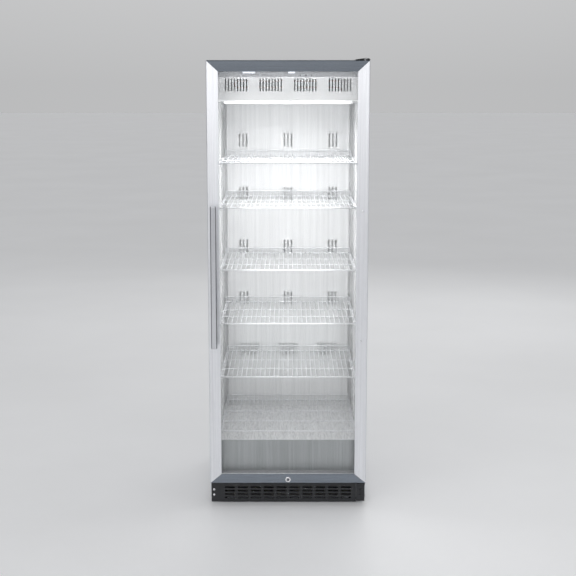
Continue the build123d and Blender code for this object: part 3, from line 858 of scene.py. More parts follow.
class REACHIN_OT_glazing(bpy.types.Operator):
    """Two panes with ground edges, the spacer between them, the bead that holds them and the door
    seal: sections carried round an upright rectangle"""

    bl_idname = "reachin.glazing"
    bl_label = "Glazing"

    def execute(self, context):
        for node, name, alpha in (("outer_glass", "pane_outer", 0.03), ("inner_glass", "pane_inner", 0.02)):
            skin = Skin()
            slab(skin, *span(node), "y", 2 * MM, 0.5 * MM)
            make_piece(name, skin, [glass(name, alpha)], "door", [node], "glass")

        # The bead's grey plastic is made as dark as the shaded sill: partly its own grey, partly painted
        # shade.
        shaded_bead_grey = grey_moulding("shaded_bead_moulding", (0.24, 0.25, 0.26))
        rings = (
            ("glass_spacer", "spacer_bar", aluminium(), "aluminium", spacer_section, 0.4 * MM),
            ("glazing_bead", "bead", shaded_bead_grey, "grey_plastic", bead_section, 0.8 * MM),
            ("door_gasket", "seal", seal_rubber(), "seal", seal_section, 0.7 * MM),
        )
        for node, name, finish, slot, section, ease in rings:
            low, high = span(node)
            skin = Skin()
            carry_round(skin, eased(section(low[1], high[1]), ease), high[0], low[2], high[2])
            make_piece(name, skin, [finish], "door", [node], slot)
        return {"FINISHED"}


def spacer_section(front, back):
    """Hollow-bar outline with a shallow channel along its inner face."""
    wide, step = 8 * MM, 2.2 * MM
    return (
        (0, front),
        (wide, front),
        (wide, front + step),
        (wide - 0.8 * MM, front + step + 0.8 * MM),
        (wide - 0.8 * MM, back - step - 0.8 * MM),
        (wide, back - step),
        (wide, back),
        (0, back),
    )


def bead_section(front, back):
    """Snap-in bead: deep against the pane and bevelled towards the room inside."""
    wide = 9 * MM
    return (0, front), (wide, front), (wide, back - 7 * MM), (wide - 4 * MM, back), (0, back)


def seal_section(front, back):
    """Door seal: a root in the rail, a bellows and the flat magnet pocket that meets the cabinet."""
    wide, root, neck = 11 * MM, 2.2 * MM, 3.2 * MM
    return (
        (root, front),
        (wide - root, front),
        (wide - neck, front + 2.4 * MM),
        (wide, front + 4.2 * MM),
        (wide, back - 1.6 * MM),
        (wide - 1.2 * MM, back),
        (1.2 * MM, back),
        (0, back - 1.6 * MM),
        (0, front + 4.2 * MM),
        (neck, front + 2.4 * MM),
    )


class REACHIN_OT_handle(bpy.types.Operator):
    """Long bar handle on two posts, and the plugs in the unused holes: rounded outlines stacked along
    the bar, and profiles turned about the posts"""

    bl_idname = "reachin.handle"
    bl_label = "Handle"

    def execute(self, context):
        settings = context.scene.reachin_door
        low, high = span("handle_bar")
        skin = Skin()
        slab(skin, low, high, "z", 0.46 * (high - low)[1], settings.handle_edge, 9)
        finishes = [handle_steel(), flank_shade_and_dark_steel()]
        bar = make_piece("grip_bar", skin, finishes, "door", ["handle_bar"], "stainless", 50)
        # Faces of the bar that point along X get the dark steel: painted shade and painted reflection on the
        # handle's flanks.
        finish_by_normal(bar, 0, 0.5, 1)

        skin = Skin()
        low, high = span("handle_posts")
        reach, radius = high[1] - low[1], (high - low)[0] / 2
        stem = (
            (radius * 0.92, 0),
            (radius * 0.92, reach * 0.62),
            (radius, reach * 0.72),
            (radius * 1.25, reach * 0.9),
            (radius * 1.32, reach - 0.8 * MM),
            (radius * 1.28, reach),
        )
        for z in (low[2] + radius, high[2] - radius):
            turned(skin, stem, (middle("handle_posts")[0], low[1], z), "y", 28)
        make_piece("grip_posts", skin, [handle_steel()], "door", ["handle_posts"], "stainless")

        skin = Skin()
        low, high = span("handle_plugs")
        radius = (high - low)[0] / 2
        dome = np.array(((1, 0), (1, -0.5), (0.86, -1.0), (0.5, -1.2), (0, -1.25))) * (radius, MM)
        for z in (low[2] + radius, high[2] - radius):
            turned(skin, dome, (middle("handle_plugs")[0], high[1], z), "y", 20)
        make_piece("hole_plugs", skin, [bright_steel()], "door", ["handle_plugs"], "bright_steel")
        return {"FINISHED"}


class REACHIN_OT_lock(bpy.types.Operator):
    """Cam lock: a stepped ring turned about the barrel, and the barrel's circles drawn in to the
    outline of its keyway"""

    bl_idname = "reachin.lock"
    bl_label = "Lock"

    def execute(self, context):
        radius = context.scene.reachin_door.barrel
        low, high = span("lock_housing")
        centre = np.array((0, low[1] + 2 * MM, (low[2] + high[2]) / 2))
        rim, tube_radius, deep = (high - low)[0] / 2, 7.2 * MM, high[1] - centre[1]
        bore = radius + 0.05 * MM
        profile = (
            (bore, deep),
            (bore, -1.2 * MM),
            (bore + 0.5 * MM, -1.7 * MM),
            (rim * 0.68, -2 * MM),
            (rim * 0.9, -1.7 * MM),
            (rim, -0.9 * MM),
            (rim, 0),
            (tube_radius, 0),
            (tube_radius, deep),
        )
        skin = Skin()
        turned(skin, profile, centre, "y", 40, closed=True)
        make_piece("lock_ring", skin, [bright_steel()], "door", ["lock_housing"], "bright_steel")

        low, high = span("lock_barrel")
        slot = (0.9 * MM, 3.1 * MM)
        keyway = rounded_outline(*slot, 0.7 * MM, 8)
        circle = keyway / slot
        circle /= np.linalg.norm(circle, axis=1, keepdims=True)
        shapes = (
            (circle * radius, high[1]),
            (circle * radius, low[1] + 0.5 * MM),
            (circle * (radius - 0.4 * MM), low[1]),
            (grow(keyway, 0.25 * MM), low[1]),
            (keyway, low[1] + 0.25 * MM),
            (keyway, low[1] + 6 * MM),
        )
        skin = Skin()
        loft(skin, [put(*shape.T, y, "y") + (0, 0, centre[2]) for shape, y in shapes])
        make_piece("lock_plug", skin, [flank_shade_and_dark_steel()], "lock", ["lock_barrel"], "bright_steel")
        finish_node("lock_cam", zinc())
        finish_node("lock_keeper", zinc())
        return {"FINISHED"}


# --- Inside ----------------------------------------------------------------------------------------
class REACHIN_OT_shelves(bpy.types.Operator):
    """Six welded wire shelves: circles carried along straight runs and arcs. The deck wires turn up
    at the back into the lip"""

    bl_idname = "reachin.shelves"
    bl_label = "Shelves"

    def execute(self, context):
        settings = context.scene.reachin_shelf
        thick, cross, fine = settings.frame_radius, settings.cross_radius, settings.deck_radius
        sides, finish = settings.sides, wire_coat()
        for number in range(1, 7):
            node = f"shelf_{number}"
            low, high = span(node)
            z, top = low[2] + thick, high[2] - cross
            front, back = low[1] + thick, high[1] - thick
            side = high[0] - thick
            deck = z + cross + fine - 0.6 * MM
            skin = Skin()
            hoop = ((-side, back, z), (-side, front, z), (side, front, z), (side, back, z))
            tube(skin, bent(hoop, 9 * MM, 6), thick, sides + 2)
            tube(skin, ((-side, back, z), (side, back, z)), thick, sides + 2)
            rail = ((-side, back, z), (-side, back, top), (side, back, top), (side, back, z))
            tube(skin, bent(rail, settings.bend, 5), cross, sides)
            for share in (0.3, 0.615):
                y = front + share * (back - front)
                tube(skin, ((-side, y, z), (side, y, z)), cross, sides)
            spread = np.linspace(-0.973, 0.973, settings.deck_wires) * side
            for x in spread:
                run = ((x, front - fine, deck), (x, back, deck), (x, back, top))
                tube(skin, bent(run, settings.bend, 4), fine, sides)
            make_piece(f"wire_shelf_{number}", skin, [finish], "cabinet", [node], "white_wire", 60)
        return {"FINISHED"}


class REACHIN_OT_pilasters(bpy.types.Operator):
    """Slotted strips on the side walls and the moulded clips that carry the shelves: punched sheets
    and a hooked outline carried along the strip's width"""

    bl_idname = "reachin.pilasters"
    bl_label = "Pilasters"

    def execute(self, context):
        low, high = span("pilasters")
        thick, wide, pitch, half_slot = 3 * MM, 20 * MM, 25 * MM, (5 * MM, 4 * MM)
        stands = (low[1] + wide / 2, high[1] - wide / 2)
        bottom = low[2]
        skin = Skin()
        for side in (-1, 1):
            for y in stands:
                centres = np.arange(bottom + 15 * MM, high[2] - 20 * MM, pitch)
                lines = np.concatenate([[bottom], centres + pitch / 2, [high[2]]])
                lines = lines[np.append(np.diff(lines) > 1 * MM, True)]
                holes = [(y, z, *half_slot) for z in centres]
                punched_sheet(
                    skin,
                    lay_flat("x", side * (high[0] - thick), side),
                    (y - wide / 2, y - 8 * MM, y + 8 * MM, y + wide / 2),
                    lines,
                    holes,
                    thick,
                    1.2 * MM,
                    steps=2,
                )
        make_piece("slotted_strips", skin, [liner_enamel()], "cabinet", ["pilasters"], "white_enamel")

        skin = Skin()
        low, high = span("shelf_clips")
        inner, outer = high[0] - 11 * MM, high[0]
        for number in range(1, 7):
            top = span(f"shelf_{number}")[0, 2] - 0.2 * MM
            hook = np.array(
                (
                    (inner, top - 6 * MM),
                    (inner + 4 * MM, top - 8 * MM),
                    (outer, top - 8 * MM),
                    (outer, top + 5 * MM),
                    (outer - 2.2 * MM, top + 6 * MM),
                    (outer - 3.4 * MM, top),
                    (inner, top),
                )
            )
            for y in stands:
                for side in (-1, 1):
                    prism(skin, eased(hook, 0.6 * MM, 3) * (side, 1), y - 6 * MM, y + 6 * MM, "y", 0.5 * MM)
        make_piece("clips", skin, [white_moulding()], "cabinet", ["shelf_clips"], "white_wire")
        return {"FINISHED"}


def folded_down(front, top, bottom, radius):
    """Placing rule for a sheet that hangs from top to bottom and folds back along its lower edge. The
    distance s = -v from the top runs down, round a quarter circle and then back along +Y."""
    drop = top - bottom - radius

    def place(u, v, deep):
        turn = np.clip((-v - drop) / radius, 0, math.pi / 2)
        y = front + radius - (radius - deep) * np.cos(turn) + np.maximum(-v - drop - radius * math.pi / 2, 0)
        z = bottom + radius - (radius - deep) * np.sin(turn) + np.maximum(drop + v, 0)
        return put(u, z, y, "y")

    return place


def folded_back(front, half, radius):
    """Placing rule for a sheet whose two upright edges fold back along +Y: x = side (flat half +
    (radius - depth) sin turn), y = front + radius - (radius - depth) cos turn, then straight on."""
    flat = half - radius

    def place(u, v, deep):
        turn = np.clip((np.abs(u) - flat) / radius, 0, math.pi / 2)
        x = np.sign(u) * (np.minimum(np.abs(u), flat) + (radius - deep) * np.sin(turn))
        y = front + radius - (radius - deep) * np.cos(turn)
        y = y + np.maximum(np.abs(u) - flat - radius * math.pi / 2, 0)
        return put(x, v, y, "y")

    return place


class REACHIN_OT_air_panels(bpy.types.Operator):
    """Plenum cover with four groups of vents, folded back under the ceiling, and the duct panel with
    its five rows of air slots, folded back at both sides: punched sheets on bent placing rules"""

    bl_idname = "reachin.air_panels"
    bl_label = "Air panels"

    def execute(self, context):
        fold = context.scene.reachin_sheet.fold
        low, high = span("plenum_cover")
        thick, pitch = 1.5 * MM, 11.2 * MM
        half_slot = (2.2 * MM, 23.5 * MM)
        groups = np.array((-1.5, -0.5, 0.5, 1.5)) * 128.53 * MM
        slots = (groups[:, None] + pitch * (np.arange(8) - 3.5)).ravel()
        edges = (groups[:, None] + pitch * (np.arange(9) - 4)).ravel()
        centre = -37 * MM
        u_lines = np.concatenate([[low[0]], edges, [high[0]]])
        drop = np.ptp((low[2], high[2])) - fold
        arc = drop + fold * np.linspace(0, math.pi / 2, 6)
        total = arc[-1] + (high[1] - low[1]) - fold
        v_lines = np.concatenate([[-total], -arc[::-1], [centre - 27 * MM, centre + 27 * MM, 0]])
        holes = np.stack([slots, np.full(32, centre), *(np.full(32, part) for part in half_slot)], -1)
        skin = Skin()
        place = folded_down(low[1], high[2], low[2], fold)
        punched_sheet(skin, place, u_lines, v_lines, holes, thick, 2 * MM, (0.9 * MM, 0.25 * MM), 4)
        make_piece("plenum_front", skin, [liner_enamel()], "cabinet", ["plenum_cover"], "white_enamel")

        low, high = span("duct_panel")
        half, pitch, slot = high[0], 14.5 * MM, (3 * MM, 27.5 * MM)
        lowest, zone_pitch = 465 * MM, 221 * MM
        zones = lowest + zone_pitch * np.arange(5) + slot[1]
        holes = []
        for zone, z in enumerate(zones):
            many, reach = (6, 163 * MM) if zone == 0 else (3, 186 * MM)
            for group in (-reach, 0.0, reach):
                holes += [(group + pitch * (i - (many - 1) / 2), z, *slot) for i in range(many)]
        centre_lines = pitch / 4 * np.arange(-11, 12, 2)
        side_lines = 120 * MM + pitch * np.arange(7)
        bends = half - fold + fold * np.linspace(0, math.pi / 2, 5)
        reach = bends[-1] + (high[1] - low[1]) - fold
        right = np.concatenate([side_lines, bends, [reach]])
        u_lines = np.concatenate([-right[::-1], centre_lines, right])
        margin = 32 * MM
        v_lines = np.concatenate([[low[2]], (zones[:, None] + (-margin, margin)).ravel(), [high[2]]])
        skin = Skin()
        place = folded_back(low[1], half, fold)
        punched_sheet(skin, place, u_lines, v_lines, holes, thick, 2.6 * MM, (0.55 * MM, 0.2 * MM), 3)
        make_piece("duct_front", skin, [ribbed_enamel()], "cabinet", ["duct_panel"], "white_enamel")
        return {"FINISHED"}


class REACHIN_OT_controls(bpy.types.Operator):
    """Control strip: a rolled slab with lit windows, domed keys and plain printed marks"""

    bl_idname = "reachin.controls"
    bl_label = "Controls"

    def execute(self, context):
        low, high = span("control_fascia")
        skin = Skin()
        slab(skin, low, high, "y", 1.5 * MM, 0.8 * MM)
        front = low[1]
        proud, tall, z = 0.15 * MM, 1 * MM, middle("button_1")[2]
        marks = np.array(((-110, 4), (-92, 7), (-76, 3), (-60, 6), (40, 3), (60, 5), (81, 4))) * MM
        for x, half in marks:
            ends = (x - half, front - proud, z), (x + half, front + tall, z + tall)
            slab(skin, *ends, "y", 0.4 * MM, 0.1 * MM, 3, 1)
        finishes = [grey_moulding("strip_moulding", (0.84, 0.85, 0.88)), legend_ink()]
        make_piece("control_strip", skin, finishes, "cabinet", ["control_fascia"], "grey_plastic")

        skin = Skin()
        low, high = span("display_window")
        display, status = 44 * MM, 25 * MM
        for x0, x1 in ((low[0], low[0] + display), (high[0] - status, high[0])):
            slab(skin, (x0, low[1] - 0.4 * MM, low[2]), (x1, high[1], high[2]), "y", 1.5 * MM, 0.5 * MM)
        make_piece("windows", skin, [display_window()], "cabinet", ["display_window"], "display")

        keys = grey_moulding("key_moulding", (0.42, 0.43, 0.45), (0.2, 0.3))
        for number in range(1, 4):
            node = f"button_{number}"
            low, high = span(node)
            radius, deep = (high - low)[0] / 2, np.ptp((low[1], high[1]))
            crown = (
                (radius, deep),
                (radius, 0.7 * MM),
                (radius * 0.93, 0.3 * MM),
                (radius * 0.75, 0.08 * MM),
                (radius * 0.5, 0.15 * MM),
                (0, 0.3 * MM),
            )
            skin = Skin()
            turned(skin, crown, (middle(node)[0], low[1], middle(node)[2]), "y", 24)
            make_piece(f"key_{number}", skin, [keys], f"button_{number}", [node], "key_plastic")
        return {"FINISHED"}


class REACHIN_OT_lamp(bpy.types.Operator):
    """Lamp under the plenum: a D-shaped diffuser section carried along X between two end caps"""

    bl_idname = "reachin.lamp"
    bl_label = "Lamp"

    def execute(self, context):
        low, high = span("lamp_bar")
        cap = 6 * MM
        turn = np.linspace(0, math.pi, 13)
        half = (high - low)[1] / 2
        spring = high[2] - 3 * MM
        drop = (spring - low[2]) * np.sin(turn) ** 0.7
        arc = np.stack([middle("lamp_bar")[1] - half * np.cos(turn), spring - drop], -1)
        section = np.concatenate([arc, [(high[1], high[2]), (low[1], high[2])]])
        skin = Skin()
        prism(skin, section, low[0] + cap, high[0] - cap, "x", 0.2 * MM)
        make_piece("lamp_cover", skin, [lamp_diffuser()], "cabinet", ["lamp_bar"], "lamp")
        skin = Skin()
        for x0, x1 in ((low[0], low[0] + cap), (high[0] - cap, high[0])):
            prism(skin, section, x0, x1, "x", 0.5 * MM)
        make_piece("lamp_caps", skin, [white_moulding()], "cabinet", [], "lamp")
        return {"FINISHED"}


# --- Cabinet ---------------------------------------------------------------------------------------
class REACHIN_OT_cabinet(bpy.types.Operator):
    """Outer skins with rolled edges, the front ring, the louvred back and the white
    liner: slabs, punched sheets and a stack of rounded outlines carried in from the mouth"""

    bl_idname = "reachin.cabinet"
    bl_label = "Cabinet"

    def execute(self, context):
        upright = stainless_upright()
        for node in ("side_panel_left", "side_panel_right"):
            skin = Skin()
            slab(skin, *span(node), "x", 1.5 * MM, 0.4 * MM)
            make_piece(node.replace("panel", "skin"), skin, [upright], "cabinet", [node], "stainless")
        skin = Skin()
        slab(skin, *span("top_panel"), "z", 2 * MM, 0.4 * MM)
        top_finish = brushed("stainless_top", context.scene.reachin_finishes.stainless, "y")
        make_piece("top_skin", skin, [top_finish], "cabinet", ["top_panel"], "stainless")

        low, high = span("front_frame")
        mouth = span("inner_liner")
        opening = (mouth[0, 0] + 1 * MM, mouth[1, 0] - 1 * MM, mouth[0, 2] + 1 * MM, mouth[1, 2] - 1 * MM)
        hole = [(0, (opening[2] + opening[3]) / 2, opening[1], (opening[3] - opening[2]) / 2)]
        skin = Skin()
        lines = ((low[0], high[0]), (low[2], high[2]))
        corner = context.scene.reachin_sheet.liner_corner
        punched_sheet(skin, lay_flat("y", low[1]), *lines, hole, high[1] - low[1], corner, steps=8)
        # The mouth ring is a darker copy of the stainless: painted shade, as on the shaded sill.
        shaded_mouth_finish = brushed("shaded_stainless_mouth", (0.50, 0.52, 0.53), "z", (0.3, 0.46), contrast=0.18)
        make_piece("mouth_ring", skin, [shaded_mouth_finish], "cabinet", ["front_frame"], "stainless")
        self.make_liner(context, opening)
        self.make_back()
        finish_node("foam_core", foam())
        finish_node("base_pan", galvanised())
        return {"FINISHED"}

    def make_liner(self, context, opening):
        """Two nested pans: rings of a rounded rectangle come from the outer back to the mouth and go in
        again to the inner back, with a quarter-round edge at both backs."""
        node = span("inner_liner")
        left, right, floor, ceiling = opening
        sheet = 1 * MM
        corner = context.scene.reachin_sheet.liner_corner
        back = node[1, 1] - sheet
        turn = np.linspace(0, math.pi / 2, 5)
        rings = []
        for by, order in ((sheet, slice(None, None, -1)), (0.0, slice(None))):
            inset = np.append(-by, corner * (1 - np.cos(turn)) - by)
            depth = np.append(node[0, 1], back + by - corner * (1 - np.sin(turn)))
            for inward, y in list(zip(inset, depth))[order]:
                half_wide, half_tall = (right - left) / 2 - inward, (ceiling - floor) / 2 - inward
                outline = rounded_outline(half_wide, half_tall, max(corner - max(inward, 0), 1 * MM), 6)
                rings.append(put(outline[:, 0], (floor + ceiling) / 2 + outline[:, 1], y, "y"))
        skin = Skin()
        loft(skin, rings)
        finish = [ribbed_enamel(), liner_enamel()]
        piece = make_piece("liner", skin, finish, "cabinet", ["inner_liner"], "white_enamel", 40)
        finish_by_normal(piece, 2, 0.5, 0)

    def make_back(self):
        """Back sheet: three columns of pressed louvres and the cut-out for the power inlet."""
        low, high = span("rear_panel")
        columns = np.array((-200, -80, 40)) * MM
        rows = (np.arange(7) * 18 + 63) * MM
        inlet = middle("power_inlet")
        size = np.ptp(span("power_inlet"), axis=0) / 2
        holes = [(x, z, 45 * MM, 3 * MM) for x in columns for z in rows]
        holes.append((inlet[0], inlet[2], size[0], size[2]))
        u_lines = np.array((low[0] / MM, -260, -140, -20, 100, 212, 258, high[0] / MM)) * MM
        v_lines = np.concatenate([[low[2]], rows - 9 * MM, [rows[-1] + 9 * MM, 420 * MM, high[2]]])
        skin = Skin()
        thick = high[1] - low[1]
        rim = (1.4 * MM, 0.6 * MM)
        punched_sheet(skin, lay_flat("y", high[1], -1), u_lines, v_lines, holes, thick, 2.6 * MM, rim, 4)
        make_piece("back_skin", skin, [galvanised()], "cabinet", ["rear_panel"], "galvanised")


class REACHIN_OT_kick_plate(bpy.types.Operator):
    """Black louvred plate with forty pressed slots, its screws and the levelling feet: a punched sheet
    and turned profiles"""

    bl_idname = "reachin.kick_plate"
    bl_label = "Kick plate and feet"

    def execute(self, context):
        settings = context.scene.reachin_sheet
        low, high = span("kick_plate")
        pitch, wide, tall = 50.1 * MM, 19 * MM, 2.5 * MM
        columns = pitch * (np.arange(10) - 4.5)
        rows = np.array((19.6, 33.4, 47.2, 61.0)) * MM
        holes = [(x, z, wide, tall) for x in columns for z in rows]
        u_lines = np.concatenate([[low[0]], columns - pitch / 2, [columns[-1] + pitch / 2, high[0]]])
        v_lines = np.concatenate([[low[2]], rows - 6.9 * MM, [rows[-1] + 6.9 * MM, high[2]]])
        skin = Skin()
        rim = (settings.rim, settings.rim_height)
        thick = high[1] - low[1]
        punched_sheet(skin, lay_flat("y", low[1]), u_lines, v_lines, holes, thick, 2.4 * MM, rim, 5)
        powder = powder_black()
        make_piece("louvre_plate", skin, [powder], "cabinet", ["kick_plate"], "black_paint")

        skin = Skin()
        low, high = span("screws")
        sides = ((low[0] + 4.5 * MM, low[1] + 2 * MM, 0), (high[0] - 4.5 * MM, low[1], 1))
        for x, face, slot in sides:
            for z in (low[2] + 4.5 * MM, high[2] - 4.5 * MM):
                cross_head(skin, (x, face, z), 4.5 * MM, 2.5 * MM, slot)
        make_piece("panel_screws", skin, [bright_steel(), powder], "cabinet", ["screws"], "bright_steel")

        skin = Skin()
        low, high = span("levelling_feet")
        rim_radius = 17 * MM
        turns = np.arange(0, 4, 0.125)
        ridge = (4.6 + 0.4 * np.cos(turns * TURN)) * MM
        stem = np.stack([ridge, 14 * MM + turns * settings.thread_pitch], -1)
        pad = np.array(((0, 0), (14, 0), (17, 1.2), (17, 5), (15, 7.4), (9.5, 8))) * MM
        nut = np.array(((9, 8), (9.4, 8.6), (9.4, 13.4), (8.6, 14), (4.6, 14))) * MM
        for x in (low[0] + rim_radius, high[0] - rim_radius):
            for y in (low[1] + rim_radius, high[1] - rim_radius):
                turned(skin, pad, (x, y, 0), "z", 32)
                turned(skin, nut, (x, y, 0), "z", 6, 1)
                turned(skin, stem, (x, y, 0), "z", 16, 1)
        finishes = [mount_rubber(), zinc()]
        make_piece("feet", skin, finishes, "cabinet", ["levelling_feet"], "mount_rubber", 25)
        return {"FINISHED"}


def cross_head(skin, face, radius, tall, slot):
    """Pan-head screw facing -Y with a cross recess, whose outline is r = min(arm / max(|cos a|, |sin a|),
    half width / min(|cos a|, |sin a|))."""
    angle = np.arange(48) * TURN / 48
    cosine, sine = np.abs(np.cos(angle)), np.abs(np.sin(angle))
    arm, half = radius * 0.55, radius * 0.13
    cross = np.minimum(arm / np.maximum(cosine, sine), half / np.maximum(np.minimum(cosine, sine), 1e-6))
    rings = [
        (np.full(48, radius), tall),
        (np.full(48, radius), tall * 0.55),
        (np.full(48, radius * 0.93), tall * 0.25),
        (np.full(48, radius * 0.75), tall * 0.04),
        (np.maximum(cross, half) + 0.1 * MM, 0.0),
        (np.maximum(cross, half), 0.1 * MM),
        (np.maximum(cross, half) * 0.7, tall * 0.6),
    ]
    x, y, z = face
    levels = [put(x + r * np.cos(angle), z + r * np.sin(angle), y + deep, "y") for r, deep in rings]
    loft(skin, levels, slot=slot)


class REACHIN_OT_hinges(bpy.types.Operator):
    """Lower bracket, upper plate, pins and the cover over the upper hinge: outlines carried along X, Y
    or Z with quarter-round ends, and turned pins"""

    bl_idname = "reachin.hinges"
    bl_label = "Hinges"

    def execute(self, context):
        powder = powder_black()
        low, high = span("bottom_hinge_bracket")
        top = high[2]
        face = span("kick_plate")[0, 1] - 2 * MM
        arm = 4 * MM
        bracket = (
            (low[1], top - arm),
            (face, top - arm),
            (face, low[2]),
            (high[1], low[2]),
            (high[1], top),
            (low[1], top),
        )
        ease = np.array((0.8, 1.0, 0.8, 0.8, 3.0, 0.8)) * MM
        skin = Skin()
        prism(skin, eased(bracket, ease, 4), low[0], high[0], "x", 0.6 * MM)
        rib = (low[0] + 3 * MM, low[0] + 5.4 * MM)
        for z in (31.3 * MM, 52.4 * MM, 70 * MM):
            ends = (rib[0], face - 0.8 * MM, z - 8 * MM), (rib[1], face + 1 * MM, z + 8 * MM)
            slab(skin, *ends, "y", 1 * MM, 0.4 * MM)
        make_piece("lower_bracket", skin, [powder], "cabinet", ["bottom_hinge_bracket"], "black_paint")

        low, high = span("top_hinge_plate")
        skin = Skin()
        slab(skin, low, high, "z", 8 * MM, 0.5 * MM, 7)
        make_piece("upper_plate", skin, [powder], "cabinet", ["top_hinge_plate"], "black_paint")

        low, high = span("hinge_pins")
        axis = middle("hinge_pins")
        arm_low, door_low = top - arm, span("door_rail_bottom")[0, 2]
        pin, collar, head, taper = 4.95 * MM, 9 * MM, 7 * MM, 1 * MM
        lower_tip, upper_tip = 125 * MM, 1655 * MM
        plate = span("top_hinge_plate")[1, 2]
        lower = (
            (head * 0.8, low[2]),
            (head, low[2] + 0.6 * MM),
            (head, arm_low),
            (pin, arm_low),
            (pin, top),
            (collar, top),
            (collar, door_low - 0.8 * MM),
            (collar - 0.5 * MM, door_low - 0.3 * MM),
            (pin, door_low - 0.3 * MM),
            (pin, lower_tip - taper),
            (pin - taper, lower_tip),
        )
        upper = (
            (pin - taper, upper_tip),
            (pin, upper_tip + taper),
            (pin, plate),
            (head, plate),
            (head, plate + 0.7 * MM),
            (head * 0.85, high[2]),
        )
        skin = Skin()
        for profile in (lower, upper):
            turned(skin, profile, (axis[0], axis[1], 0), "z", 28)
        make_piece("pins", skin, [bright_steel()], "cabinet", ["hinge_pins"], "bright_steel")

        low, high = span("top_hinge_cover")
        across = np.linspace(0, 1, 14)
        peak = 0.72
        rise = np.where(across < peak, across / peak, 1 - 0.9 * ((across - peak) / (1 - peak)) ** 2)
        crest = low[2] + 1.2 * MM + (high[2] - low[2] - 1.2 * MM) * rise ** 0.9
        ridge = np.stack([low[0] + across * (high[0] - low[0]), crest], -1)
        outline = np.concatenate([[(high[0], low[2]), (low[0], low[2])], ridge])
        skin = Skin()
        prism(skin, outline, low[1], high[1], "y", 0.8 * MM)
        corner = np.array((axis[0], low[1], low[2]))
        tab = corner + np.array((-4, -0.5, 2.2)) * MM, corner + np.array((8, 2, 4)) * MM
        slab(skin, *tab, "y", 0.8 * MM, 0.3 * MM, 4, 1)
        finishes = [moulded_black(), zinc()]
        make_piece("hinge_cap", skin, finishes, "cabinet", ["top_hinge_cover"], "black_plastic")
        return {"FINISHED"}


